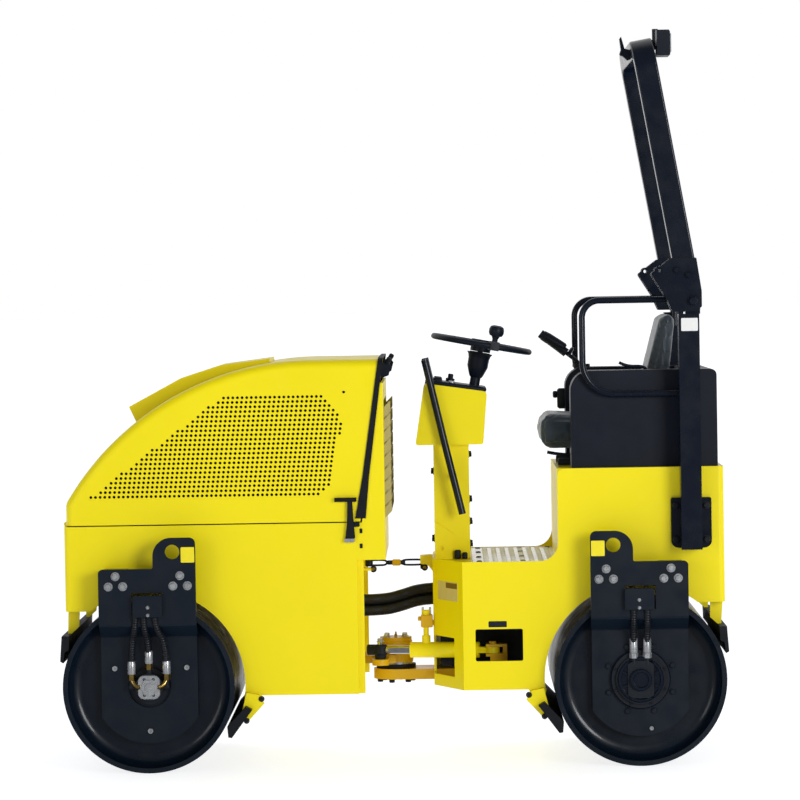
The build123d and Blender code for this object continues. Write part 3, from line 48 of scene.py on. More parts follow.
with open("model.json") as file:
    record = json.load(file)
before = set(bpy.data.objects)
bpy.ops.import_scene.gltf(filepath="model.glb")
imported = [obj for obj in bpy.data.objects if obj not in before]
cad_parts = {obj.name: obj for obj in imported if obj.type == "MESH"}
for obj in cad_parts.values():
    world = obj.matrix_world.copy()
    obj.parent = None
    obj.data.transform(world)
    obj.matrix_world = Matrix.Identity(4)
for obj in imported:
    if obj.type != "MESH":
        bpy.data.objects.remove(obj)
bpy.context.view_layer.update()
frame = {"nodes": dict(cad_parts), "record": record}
MM = 0.001

# Places that the CAD model sets, in millimetres
SIDE_Y = 380.0
AXLE_X = 800.0
AXLE_Z = 280.0
PLATE_FACE_Y = 475.0
FOOT_FACE_Y = 405.0
COVER_Y = 492.0
PORT_Y = 426.0
PORT_U = 57.0
FOLD = (-985.0, 1508.0)
WHEEL_CENTRE = (-303.0, 0.0, 1373.0)
WHEEL_KNOB = (-342.6, 155.9, 1365.4)
WHEEL_TILT = math.radians(10.8)
LOCK_Z = 644.0
BARREL_PIN = (-322.0, 205.0, 364.0)
ROD_PIN = (50.0, 145.0, 364.0)
FLOOR_TOP_Z = 665.0
SIDES = ((1, "left"), (-1, "right"))
ENDS = ((1, "front", "front_frame"), (-1, "rear", "rear_frame"))
AHEAD = (1, 0, 0)
UP = (0, 0, 1)
# Bands that a wave texture draws in one unit at scale one
WAVE_BANDS = 3.2


def linear(hex_colour):
    """An sRGB hex colour as linear red, green, blue and alpha."""
    parts = [int(hex_colour[i:i + 2], 16) / 255 for i in (1, 3, 5)]
    return tuple(p / 12.92 if p <= 0.04045 else ((p + 0.055) / 1.055) ** 2.4 for p in parts) + (1.0,)


def colour_property(name, description, hex_colour):
    """A colour that a user can change in the sidebar."""
    return FloatVectorProperty(name=name, description=description, default=linear(hex_colour), size=4,
                               subtype="COLOR", min=0.0, max=1.0)


def length_property(name, description, millimetres):
    """A length that a user can change in the sidebar."""
    return FloatProperty(name=name, description=description, default=millimetres * MM, unit="LENGTH")


class RollerColours(PropertyGroup):
    """Paints, rubbers and bare metals of the machine."""

    body_yellow: colour_property("Body yellow", "Sprayed enamel of the frames and the hood", "#F5E206")
    hub_yellow: colour_property("Hub yellow", "Thicker brushed enamel of the pivot", "#DDAE12")
    louvre_olive: colour_property("Louvre olive", "Thin coat on the radiator louvres", "#B9AE78")
    frame_navy: colour_property("Frame navy", "Satin enamel of the drum plates and drums", "#0E1926")
    bar_black: colour_property("Roll bar black", "Gloss enamel of the roll bar and rails", "#0A1322")
    plastic_black: colour_property("Moulding black", "Grained moulding of the seat console", "#0B1424")
    rubber_black: colour_property("Rubber black", "Hoses, seals and wipers", "#12161D")
    seat_grey: colour_property("Seat vinyl", "Coated fabric of the seat", "#24343F")
    zinc: colour_property("Zinc", "Plated bolts and fittings", "#C9CCD0")
    chrome: colour_property("Chrome", "Hard chrome of the cylinder's rod", "#D9DCE0")
    cast_alloy: colour_property("Cast alloy", "Sand-cast housing of the motor", "#B9BCC0")
    cast_iron: colour_property("Cast iron", "Painted castings of the drive", "#161C25")
    brass: colour_property("Brass", "Turned elbows and nipples", "#BFA25C")
    # Near white: the alloy's pale tone together with a painted reflection of the white backdrop
    chequer_alloy_and_reflection: colour_property("Floor alloy", "Bare chequer plate of the floor", "#F6F7F8")
    film_white: colour_property("White film", "Blank film on the roll bar", "#E9E9E6")
    film_brown: colour_property("Brown film", "Blank band on the frame's film", "#6B4A20")
    film_cream: colour_property("Cream film", "Blank film on the frame", "#D8C777")
    floor_pale: colour_property("Studio floor", "Paper sweep under the machine", "#B4BAC4")


class RollerSizes(PropertyGroup):
    """Sizes of the pieces that dress the machine."""

    peel_size: length_property("Orange peel", "Spacing of the ripple in sprayed paint", 2.5)
    grain_size: length_property("Moulding grain", "Spacing of the grain in moulded plastic", 1.6)
    hole_pitch: length_property("Hole pitch", "Distance between holes of the hood's vents", 15.15)
    hole_width: length_property("Hole width", "Width of one hole of the hood's vents", 9.8)
    bolt_size: length_property("Bolt size", "Width across flats of the drum plates' bolts", 19.0)
    hose_width: length_property("Hose width", "Outside width of a wrapped motor hose", 21.0)
    bundle_hose: length_property("Bundle hose width", "Outside width of a hose that crosses the pivot", 37.0)
    tread_pitch: length_property("Tread pitch", "Distance between the ribs of the floor plate", 30.0)
    pad_voxel: length_property("Pad voxel", "Edge of a voxel when a pad is remeshed", 6.0)
    pad_frames: IntProperty(name="Pad frames", description="Frames of cloth simulation for a pad", default=18,
                            min=1)


def colours():
    """The scene's colour settings."""
    return bpy.context.scene.roller_colours


def sizes():
    """The scene's size settings."""
    return bpy.context.scene.roller_sizes


def add(tree, kind, sockets=None, **settings):
    """Adds one node, sets its properties, and fills or links its sockets."""
    node = tree.nodes.new(kind)
    for key, value in settings.items():
        setattr(node, key, value)
    for key, value in (sockets or {}).items():
        if isinstance(value, bpy.types.NodeSocket):
            tree.links.new(value, node.inputs[key])
        else:
            node.inputs[key].default_value = value
    return node


def new_material(name, **shader):
    """An empty node material with a principled shader; returns it, its tree and the shader."""
    material = bpy.data.materials.new(name)
    material.use_nodes = True
    tree = material.node_tree
    tree.nodes.clear()
    principled = add(tree, "ShaderNodeBsdfPrincipled", shader)
    add(tree, "ShaderNodeOutputMaterial", {"Surface": principled.outputs[0]})
    return material, tree, principled


def frequency(millimetres):
    """Texture scale that repeats about once in a length in millimetres."""
    return 1000.0 / millimetres


def darker(colour, share):
    """A colour with its light cut by a share."""
    return tuple(channel * (1.0 - share) for channel in colour[:3]) + (1.0,)


def tint_and_gloss(tree, shader, place, base, shade, drift_mm, dull_mm, gloss):
    """Slow drift between two tones and patches of duller surface, both at real sizes."""
    drift = add(tree, "ShaderNodeTexNoise", {"Vector": place, "Scale": frequency(drift_mm), "Detail": 4.0})
    tone = add(tree, "ShaderNodeMapRange", {"Value": drift.outputs["Fac"], "From Min": 0.3, "From Max": 0.75})
    tint = add(tree, "ShaderNodeMix", {"Factor": tone.outputs["Result"], "A": base, "B": shade},
               data_type="RGBA")
    tree.links.new(tint.outputs["Result"], shader.inputs["Base Color"])
    patch = add(tree, "ShaderNodeTexNoise", {"Vector": place, "Scale": frequency(dull_mm), "Detail": 6.0})
    rough = add(tree, "ShaderNodeMapRange", {"Value": patch.outputs["Fac"], "From Min": 0.35, "From Max": 0.7,
                                             "To Min": gloss[0], "To Max": gloss[1]})
    tree.links.new(rough.outputs["Result"], shader.inputs["Roughness"])


def raise_by(tree, shader, height, depth_mm, strength):
    """Bump of a real depth from a pattern."""
    bump = add(tree, "ShaderNodeBump", {"Strength": strength, "Distance": depth_mm * MM, "Height": height})
    tree.links.new(bump.outputs["Normal"], shader.inputs["Normal"])


def enamel(name, base, gloss, coat, shade_share):
    """Enamel sprayed on steel: even colour, faint orange peel in the gloss and dull patches of site dust."""
    material, tree, shader = new_material(name, **{"Coat Weight": coat, "Coat Roughness": 0.08,
                                                   "Specular IOR Level": 0.25})
    place = add(tree, "ShaderNodeTexCoord").outputs["Object"]
    tint_and_gloss(tree, shader, place, base, darker(base, shade_share), 380.0, 55.0, gloss)
    peel = add(tree, "ShaderNodeTexNoise", {"Vector": place, "Scale": 1.0 / sizes().peel_size, "Detail": 1.0})
    raise_by(tree, shader, peel.outputs["Fac"], 0.5, 0.012)
    return material


def moulded(name, base, gloss, grain_mm, depth_mm, sheen=0.0):
    """Moulded rubber or plastic: fine pebbled grain that breaks up the gloss, with handling marks."""
    material, tree, shader = new_material(name, **{"Sheen Weight": sheen, "Specular IOR Level": 0.25})
    place = add(tree, "ShaderNodeTexCoord").outputs["Object"]
    tint_and_gloss(tree, shader, place, base, darker(base, 0.3), 140.0, 30.0, gloss)
    pebble = add(tree, "ShaderNodeTexVoronoi", {"Vector": place, "Scale": frequency(grain_mm)},
                 feature="SMOOTH_F1")
    raise_by(tree, shader, pebble.outputs["Distance"], depth_mm, 0.35)
    return material


def wrapped_hose(name, base, pitch_mm, axis):
    """Hose in a spiral guard: ribs across its run catch light as short bright dashes."""
    material, tree, shader = new_material(name, **{"Specular IOR Level": 0.5})
    place = add(tree, "ShaderNodeTexCoord").outputs["Object"]
    tint_and_gloss(tree, shader, place, base, darker(base, 0.4), 60.0, 18.0, (0.35, 0.55))
    ribs = add(tree, "ShaderNodeTexWave", {"Vector": place, "Scale": frequency(pitch_mm) / WAVE_BANDS,
                                           "Distortion": 0.6, "Detail": 1.0},
               wave_type="BANDS", bands_direction=axis)
    raise_by(tree, shader, ribs.outputs["Fac"], 2.2, 0.8)
    return material


def bare_metal(name, base, gloss, grain_mm, depth_mm, stretch=(1.0, 1.0, 1.0), metallic=1.0):
    """Bare, plated or cast metal: bright reflections softened by a fine directional or sandy grain."""
    material, tree, shader = new_material(name, Metallic=metallic)
    place = add(tree, "ShaderNodeTexCoord").outputs["Object"]
    grainy = add(tree, "ShaderNodeMapping", {"Vector": place, "Scale": stretch}).outputs["Vector"]
    tint_and_gloss(tree, shader, grainy, base, darker(base, 0.22), 45.0, 12.0, gloss)
    grain = add(tree, "ShaderNodeTexNoise", {"Vector": grainy, "Scale": frequency(grain_mm), "Detail": 3.0})
    raise_by(tree, shader, grain.outputs["Fac"], depth_mm, 0.4)
    return material


def vinyl(name, base):
    """Coated seat fabric: creased leather grain with a soft sheen where the light grazes it."""
    material, tree, shader = new_material(name, **{"Sheen Weight": 0.25, "Sheen Roughness": 0.5,
                                                   "Coat Weight": 0.3, "Coat Roughness": 0.3})
    place = add(tree, "ShaderNodeTexCoord").outputs["Object"]
    tint_and_gloss(tree, shader, place, base, darker(base, 0.25), 90.0, 22.0, (0.38, 0.55))
    creases = add(tree, "ShaderNodeTexVoronoi", {"Vector": place, "Scale": frequency(3.2)},
                  feature="DISTANCE_TO_EDGE")
    raise_by(tree, shader, creases.outputs["Distance"], 0.5, 0.5)
    return material


def film(name, base):
    """Printed film with nothing on it: flat clean colour under a thin clear layer, slightly faded."""
    material, tree, shader = new_material(name, **{"Coat Weight": 0.4, "Coat Roughness": 0.15})
    place = add(tree, "ShaderNodeTexCoord").outputs["Object"]
    tint_and_gloss(tree, shader, place, base, darker(base, 0.08), 25.0, 8.0, (0.3, 0.42))
    return material


def lens_glass(name):
    """Moulded lamp lens: clear plastic with flutes that bend the reflector behind it into strips."""
    material, tree, shader = new_material(name, **{"Base Color": linear("#E8EEF2"), "Roughness": 0.06,
                                                   "Transmission Weight": 0.6, "IOR": 1.49})
    place = add(tree, "ShaderNodeTexCoord").outputs["Object"]
    flutes = add(tree, "ShaderNodeTexWave", {"Vector": place, "Scale": frequency(12.0) / WAVE_BANDS},
                 wave_type="BANDS", bands_direction="Y")
    raise_by(tree, shader, flutes.outputs["Fac"], 1.2, 0.7)
    return material


# Finish of each material slot of the record, and of the pieces that have their own
FINISH_NAMES = {
    "yellow_paint": "sprayed yellow enamel",
    "hub_paint": "brushed yellow enamel on castings",
    "louvre_paint": "thin olive coat on louvres",
    "dark_paint": "satin navy enamel",
    "drum_steel": "navy enamel on rolled steel",
    "black_paint": "gloss black enamel",
    "black_rubber": "moulded black rubber",
    "black_plastic": "grained black moulding",
    "foam": "open foam lining",
    "vinyl": "coated seat vinyl",
    "zinc_steel": "zinc plated steel",
    "chrome": "hard chrome rod",
    "cast_metal": "sand cast alloy",
    "cast_iron": "painted iron casting",
    "brass": "turned brass",
    "chequer": "chequer alloy with painted reflection",
    "hose_down": "spiral guarded hose, upright run",
    "hose_along": "sleeved hose, level run",
    "film_yellow": "blank yellow film",
    "film_white": "blank white film",
    "film_brown": "blank brown film",
    "film_cream": "blank cream film",
    "film_black": "blank black film",
    "lens": "fluted lamp lens",
}
# CAD nodes whose finish differs from their slot's; the vibration motors, cast alloy by their slot, take the
# dark iron finish as painted shade for the dark opening in the plate round them
NODE_FINISH = {"centre_hub": "hub_paint", "radiator_grille": "louvre_paint", "pivot_arm": "hub_paint",
               "front_vibration_motor": "cast_iron", "rear_vibration_motor": "cast_iron"}


def build_materials():
    """Makes every finish under the name of the real material."""
    tone = colours()
    name = FINISH_NAMES
    enamel(name["yellow_paint"], tone.body_yellow, (0.32, 0.46), 0.04, 0.05)
    enamel(name["hub_paint"], tone.hub_yellow, (0.36, 0.55), 0.2, 0.12)
    enamel(name["louvre_paint"], tone.louvre_olive, (0.5, 0.7), 0.0, 0.2)
    enamel(name["dark_paint"], tone.frame_navy, (0.3, 0.46), 0.25, 0.25)
    enamel(name["drum_steel"], tone.frame_navy, (0.26, 0.46), 0.25, 0.35)
    enamel(name["black_paint"], tone.bar_black, (0.2, 0.32), 0.12, 0.3)
    moulded(name["black_rubber"], tone.rubber_black, (0.55, 0.75), 1.1, 0.25)
    moulded(name["black_plastic"], tone.plastic_black, (0.38, 0.52), sizes().grain_size / MM, 0.3)
    # The foam is made darker than the rubber; behind the hood's vents it paints the shade of the engine bay
    moulded(name["foam"], darker(tone.rubber_black, 0.6), (0.85, 0.95), 4.0, 1.5, 0.1)
    vinyl(name["vinyl"], tone.seat_grey)
    bare_metal(name["zinc_steel"], tone.zinc, (0.22, 0.4), 1.2, 0.05, metallic=0.7)
    bare_metal(name["chrome"], tone.chrome, (0.05, 0.12), 2.0, 0.01, (1.0, 9.0, 9.0))
    bare_metal(name["cast_metal"], tone.cast_alloy, (0.38, 0.55), 1.4, 0.25, metallic=0.6)
    moulded(name["cast_iron"], tone.cast_iron, (0.45, 0.62), 1.8, 0.35)
    bare_metal(name["brass"], tone.brass, (0.2, 0.36), 0.8, 0.04)
    # Chequer plate: near-white colour with almost no metal, so the alloy's bright reflection of the white
    # backdrop is painted into its colour
    bare_metal(name["chequer"], tone.chequer_alloy_and_reflection, (0.16, 0.3), 1.5, 0.06, (1.0, 5.0, 1.0), 0.05)
    wrapped_hose(name["hose_down"], tone.rubber_black, 8.0, "Z")
    wrapped_hose(name["hose_along"], tone.rubber_black, 46.0, "X")
    film(name["film_yellow"], tone.body_yellow)
    film(name["film_white"], tone.film_white)
    film(name["film_brown"], tone.film_brown)
    film(name["film_cream"], tone.film_cream)
    film(name["film_black"], tone.bar_black)
    lens_glass(name["lens"])


def finish(kind):
    """The finish made for a slot or a piece."""
    return bpy.data.materials[FINISH_NAMES[kind]]


def coat(piece, kind):
    """Gives a piece its finish."""
    piece.data.materials.clear()
    piece.data.materials.append(finish(kind))
    return piece


def settle(piece, body, kind):
    """Gives a piece its finish and the body it moves with."""
    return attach(coat(piece, kind), body)


def link(name, data):
    """A new object in the scene."""
    piece = bpy.data.objects.new(name, data)
    bpy.context.scene.collection.objects.link(piece)
    return piece


def baked(drawn):
    """Mesh of a drawn curve; the drawing is taken away."""
    bpy.context.view_layer.update()
    mesh = bpy.data.meshes.new_from_object(drawn.evaluated_get(bpy.context.evaluated_depsgraph_get()))
    bpy.data.objects.remove(drawn)
    return mesh


def mesh_piece(name, bm, body, kind, smooth_deg=35.0):
    """Turns a bmesh into a named piece on a body."""
    mesh = bpy.data.meshes.new(name)
    bmesh.ops.recalc_face_normals(bm, faces=bm.faces)
    bm.to_mesh(mesh)
    bm.free()
    mesh.shade_smooth()
    mesh.set_sharp_from_angle(angle=math.radians(smooth_deg))
    return settle(link(name, mesh), body, kind)


def pieces(body, *rows):
    """Turns meshes into pieces on one body: name, mesh and finish of each."""
    return [mesh_piece(name, bm, body, kind) for name, bm, kind in rows]


def skin(bm, rings, loop=False):
    """Closes a stack of equal rings into one solid, or joins the last ring to the first round a bore."""
    count = len(rings[0])
    stack = rings + rings[:1] if loop else rings
    for low, high in zip(stack, stack[1:]):
        for i in range(count):
            j = (i + 1) % count
            bm.faces.new((low[i], low[j], high[j], high[i]))
    if not loop:
        bm.faces.new(list(reversed(rings[0])))
        bm.faces.new(rings[-1])


def meshes(count):
    """Empty meshes to build pieces in."""
    return [bmesh.new() for _ in range(count)]


def turns(count, start=0.0):
    """Angles that share out a full turn; the start is a share of one step."""
    return [math.tau * (step + start) / count for step in range(count)]


def chamfered(radius, heights, insets):
    """Profile of a turned body with a chamfer at each end: four heights, and how far each end draws in."""
    return [(radius - insets[0], heights[0]), (radius, heights[1]), (radius, heights[2]),
            (radius - insets[1], heights[3])]


def turned_body(bm, profile, place, axis, segments=24, turn=0.0, loop=False):
    """Adds a turned body: a profile of radius and height, in millimetres, along an axis from a place."""
    aim = Vector(axis).to_track_quat("Z", "Y").to_matrix().to_4x4()
    seat = Matrix.Translation(Vector(place) * MM) @ aim @ Matrix.Rotation(turn, 4, "Z")
    rings = []
    for radius, height in profile:
        rings.append([bm.verts.new(seat @ (Vector((radius * math.cos(a), radius * math.sin(a), height)) * MM))
                      for a in turns(segments)])
    skin(bm, rings, loop)


def slab(bm, outline, place, right, up, thick, edge=1.0):
    """Adds a flat piece: an outline in millimetres on a plane, thickened outwards with a worn edge."""
    right, up = Vector(right).normalized(), Vector(up).normalized()
    out = right.cross(up)
    centre = Vector((sum(p[0] for p in outline), sum(p[1] for p in outline))) / len(outline)
    reach = max((Vector(p) - centre).length for p in outline)
    shrink = 1.0 - edge / reach
    rings = []
    for height, scale in ((0.0, 1.0), (thick - edge, 1.0), (thick, shrink)):
        ring = []
        for point in outline:
            flat = centre + (Vector(point) - centre) * scale
            ring.append(bm.verts.new((Vector(place) + right * flat.x + up * flat.y + out * height) * MM))
        rings.append(ring)
    skin(bm, rings)


def side_slab(bm, outline, place, side, thick, edge):
    """Adds a flat piece that faces out to one side of the machine."""
    slab(bm, outline, place, (-side, 0, 0), UP, thick, edge)


def rounded(width, height, radius, steps=5):
    """Outline of a rectangle with round corners about its middle."""
    points = []
    for number, (sx, sy) in enumerate(((1, 1), (-1, 1), (-1, -1), (1, -1))):
        corner = Vector((sx * (width / 2 - radius), sy * (height / 2 - radius)))
        for step in range(steps + 1):
            angle = math.pi / 2 * (number + step / steps)
            points.append((corner.x + radius * math.cos(angle), corner.y + radius * math.sin(angle)))
    return points


def lobed(radius, swell, lobes, steps=60):
    """Outline of a round cover that swells at each of its bolts."""
    points = []
    for angle in turns(steps):
        reach = radius + swell * math.cos(lobes * angle)
        points.append((reach * math.cos(angle), reach * math.sin(angle)))
    return points


def hex_bolt(bm, place, axis, across, turn=0.0):
    """Adds a hex bolt head on its washer."""
    corner = across / math.sqrt(3.0)
    turned_body(bm, [(across * 0.76, 0.0), (across * 0.76, across * 0.1), (across * 0.7, across * 0.15)],
                place, axis, 20)
    turned_body(bm, [(corner, across * 0.1), (corner, across * 0.6), (corner * 0.87, across * 0.72)],
                place, axis, 6, turn)


def socket_bolt(bm, place, axis, width):
    """Adds a cap screw with its socket."""
    r = width / 2
    profile = [(r, 0.0), (r, width * 0.4), (r * 0.9, width * 0.5), (r * 0.5, width * 0.5),
               (r * 0.5, width * 0.2)]
    turned_body(bm, profile, place, axis, 18)


def bar_drawing(name, points, radius, cyclic=False):
    """A round bar along a smooth line of points in millimetres."""
    curve = bpy.data.curves.new(name, "CURVE")
    curve.dimensions = "3D"
    curve.bevel_depth = radius * MM
    curve.bevel_resolution = 4
    curve.use_fill_caps = True
    spline = curve.splines.new("NURBS")
    spline.points.add(len(points) - 1)
    for knot, point in zip(spline.points, points):
        knot.co = (*(Vector(point) * MM), 1.0)
    spline.order_u = 3
    spline.use_cyclic_u = cyclic
    spline.use_endpoint_u = not cyclic
    spline.resolution_u = 8
    return link(name, curve)


def bar_piece(name, points, radius, body, kind, cyclic=False):
    """A bent bar on a body."""
    return settle(bar_drawing(name, points, radius, cyclic), body, kind)


class ROLLER_OT_finishes(Operator):
    """Makes the finishes and gives every CAD node its own"""

    bl_idname = "roller.finishes"
    bl_label = "Finishes"

    def execute(self, context):
        build_materials()
        slots = {entry["node"]: entry["material_slot"] for entry in frame["record"]["subparts"]}
        for node, piece in frame["nodes"].items():
            piece.data.materials.clear()
            piece.data.materials.append(finish(NODE_FINISH.get(node, slots[node])))
        return {"FINISHED"}


# Side outline of the hood's ventilated field, front corner first
VENT_FIELD = [(1013, 888), (556, 1227), (222, 1227), (176, 1190), (150, 1138),
              (188, 932), (226, 888)]
VENT_MARGIN = 9
VENT_FIRST_ROW_Z = 898
VENT_ROW_LEAN = 2.15
HOLE_SIDES = 10
HOOD_SHEET = 4
# Gap from the hood's side to the dark foam sheet behind the vents, which paints the shade of the engine bay
# seen through the holes
VENT_SHADE_GAP = 26
# Hood catches: X and Z of the clip; width, height, corner, X, Z, thickness and edge of each hook
CATCH_FACE_Y = SIDE_Y + 0.3
CATCH_CLIP = (141, 745)
CATCH_HOOKS = ((20, 16, 4, 117, 797, 12, 3), (9, 15, 2, 103, 775, 4, 1.5),
               (9, 15, 2, 103, 726, 4, 1.5))
# Hook and knob on the hood's rear edge
EDGE_HOOK = ((0, 0), (-26, 10), (-34, 40), (-22, 58), (-8, 50), (0, 64))
EDGE_KNOB = ((7, 0), (9, 4), (9, 20), (6, 24))
EDGE_HOOK_Y = 330


def inside_field(x, z):
    """Whether a hole's middle keeps its margin to every side of the ventilated field."""
    for (ax, az), (bx, bz) in zip(VENT_FIELD, VENT_FIELD[1:] + VENT_FIELD[:1]):
        run = Vector((bx - ax, bz - az)).normalized()
        if run.x * (z - az) - run.y * (x - ax) < VENT_MARGIN:
            return False
    return True


def vent_holes():
    """Middles of the holes of one hood side, in rows that step back a little on the way up."""
    pitch = sizes().hole_pitch / MM
    x_low, x_high = min(p[0] for p in VENT_FIELD), max(p[0] for p in VENT_FIELD)
    z_high = max(p[1] for p in VENT_FIELD)
    found = []
    for row in range(int((z_high - VENT_FIRST_ROW_Z) / pitch) + 1):
        z = VENT_FIRST_ROW_Z + row * pitch
        start = x_low - row * VENT_ROW_LEAN % pitch
        for step in range(int((x_high - start) / pitch) + 1):
            x = start + step * pitch
            if inside_field(x, z):
                found.append((x, z))
    return found


def perforated_panel(name, side):
    """Punched sheet that fills the hood's side opening, with every hole open."""
    curve = bpy.data.curves.new(name, "CURVE")
    curve.dimensions = "2D"
    curve.fill_mode = "BOTH"
    curve.extrude = HOOD_SHEET * 0.4 * MM
    radius = sizes().hole_width / MM / 2
    circle = [(radius * math.cos(angle), radius * math.sin(angle)) for angle in turns(HOLE_SIDES)]
    rings = [VENT_FIELD] + [[(x + dx, z + dz) for dx, dz in circle] for x, z in vent_holes()]
    for ring in rings:
        spline = curve.splines.new("POLY")
        spline.points.add(len(ring) - 1)
        for knot, (x, z) in zip(spline.points, ring):
            knot.co = (x * MM, z * MM, 0, 1)
        spline.use_cyclic_u = True
    mesh = baked(link(name + "_drawing", curve))
    upright = Matrix.Rotation(math.pi / 2, 4, "X")
    mesh.transform(Matrix.Translation((0, side * (SIDE_Y - HOOD_SHEET / 2) * MM, 0)) @ upright)
    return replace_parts(settle(link(name, mesh), "hood", "yellow_paint"), "hood_mesh_panels")


class ROLLER_OT_hood(Operator):
    """Punches the hood's vents, puts a dark foam sheet of painted shade behind them and fits its catches"""

    bl_idname = "roller.hood"
    bl_label = "Hood"

    def execute(self, context):
        lining, clips, hooks, studs = meshes(4)
        for side, word in SIDES:
            perforated_panel("vent_panel_" + word, side)
            # Dark foam sheet behind the vent field: painted shade for the dark engine bay seen through the
            # holes
            field = [(-side * x, z) for x, z in VENT_FIELD]
            side_slab(lining, field, (0, side * (SIDE_Y - VENT_SHADE_GAP), 0), side, 8, 3)
            x, z = CATCH_CLIP
            side_slab(clips, rounded(34, 13, 3), (x, side * CATCH_FACE_Y, z), side, 17, 2)
            for width, height, corner, x, z, thick, edge in CATCH_HOOKS:
                place = (x, side * CATCH_FACE_Y, z)
                side_slab(hooks, rounded(width, height, corner), place, side, thick, edge)
            stud_place = (152, side * (SIDE_Y - 0.2), 1229)
            turned_body(studs, [(4.5, 0), (4.5, 1), (3, 2.2)], stud_place, (0, side, 0), 14)
            slab(hooks, EDGE_HOOK, (31, side * EDGE_HOOK_Y, 1270), AHEAD, UP, 8, 2)
            turned_body(hooks, EDGE_KNOB, (12, side * EDGE_HOOK_Y, 1318), (-0.5, 0, 0.85), 14)
        pieces("hood", ("vent_shade_lining", lining, "foam"))
        pieces("front_frame", ("catch_clips", clips, "zinc_steel"))
        pieces("hood", ("catch_hooks", hooks, "dark_paint"), ("hood_studs", studs, "black_rubber"))
        return {"FINISHED"}


# Pieces on a pair of drum plates and their finishes
PLATE_FINISH = {"scraper_arms": "yellow_paint", "motor_casting": "black_paint", "plate_bolts": "zinc_steel",
                "plate_clamps": "dark_paint", "plate_films": "film_yellow", "port_nuts": "brass"}
# Places on a drum plate: distance from the axle towards the machine's end, and height
PLATE_BOLTS = ((101, 645), (124, 612), (77, 612), (-109, 645), (-86, 612), (-133, 612))
PLATE_FILM = (-135, 712)
FOOT_BOLTS = ((113, 340), (-122, 340), (0, 134))
DRIVE_FOOT_BOLT = (34, 118)
# Cover over the hoses' slot: middle height, bolts' heights, and its two walls' distance from the axle
COVER_Z = 547
COVER_BOLTS_Z = (544, 519)
COVER_WALLS = (-46, 40)
# Motors: ports beside and over the axle, and rings of the drive motor's casting as radius, start and rise
MOTOR_FACE_Y = 440
OUTER_PORT_RISE = 38
VIBRATION_PORTS = ((PORT_U, OUTER_PORT_RISE), (0, 72), (-PORT_U, OUTER_PORT_RISE))
DRIVE_PORTS = (-22, 22)
DRIVE_PORT_RISE = 84
DRIVE_PORT_Y = PORT_Y + 6
CASTING_RINGS = ((95, 0, 14), (72, 26, 9), (33, 40, 8))
# Side outline of a scraper's arm on the machine's inner side of a drum, its outer faces, and its bolts
SCRAPER_ARM = ((485, 254), (444.5, 246), (428.7, 215.7), (488.6, 151.2), (502.7, 184))
SCRAPER_Y = (405, -365)
SCRAPER_BOLTS = ((436, 233), (486, 162))


def beside_axle(end, side, u, y, z):
    """A place given by its distance from an axle towards the machine's end."""
    return (end * (AXLE_X + u), side * y, z)


def spokes(count, start=0):
    """Angles and directions about an axle."""
    return [(angle, Vector((math.cos(angle), 0, math.sin(angle)))) for angle in turns(count, start)]


def hose_sleeve(length):
    """Profile of the sleeve pressed on a hose's end."""
    return [(12.4, 4), (13.2, 8), (13.2, length - 6), (11.6, length)]


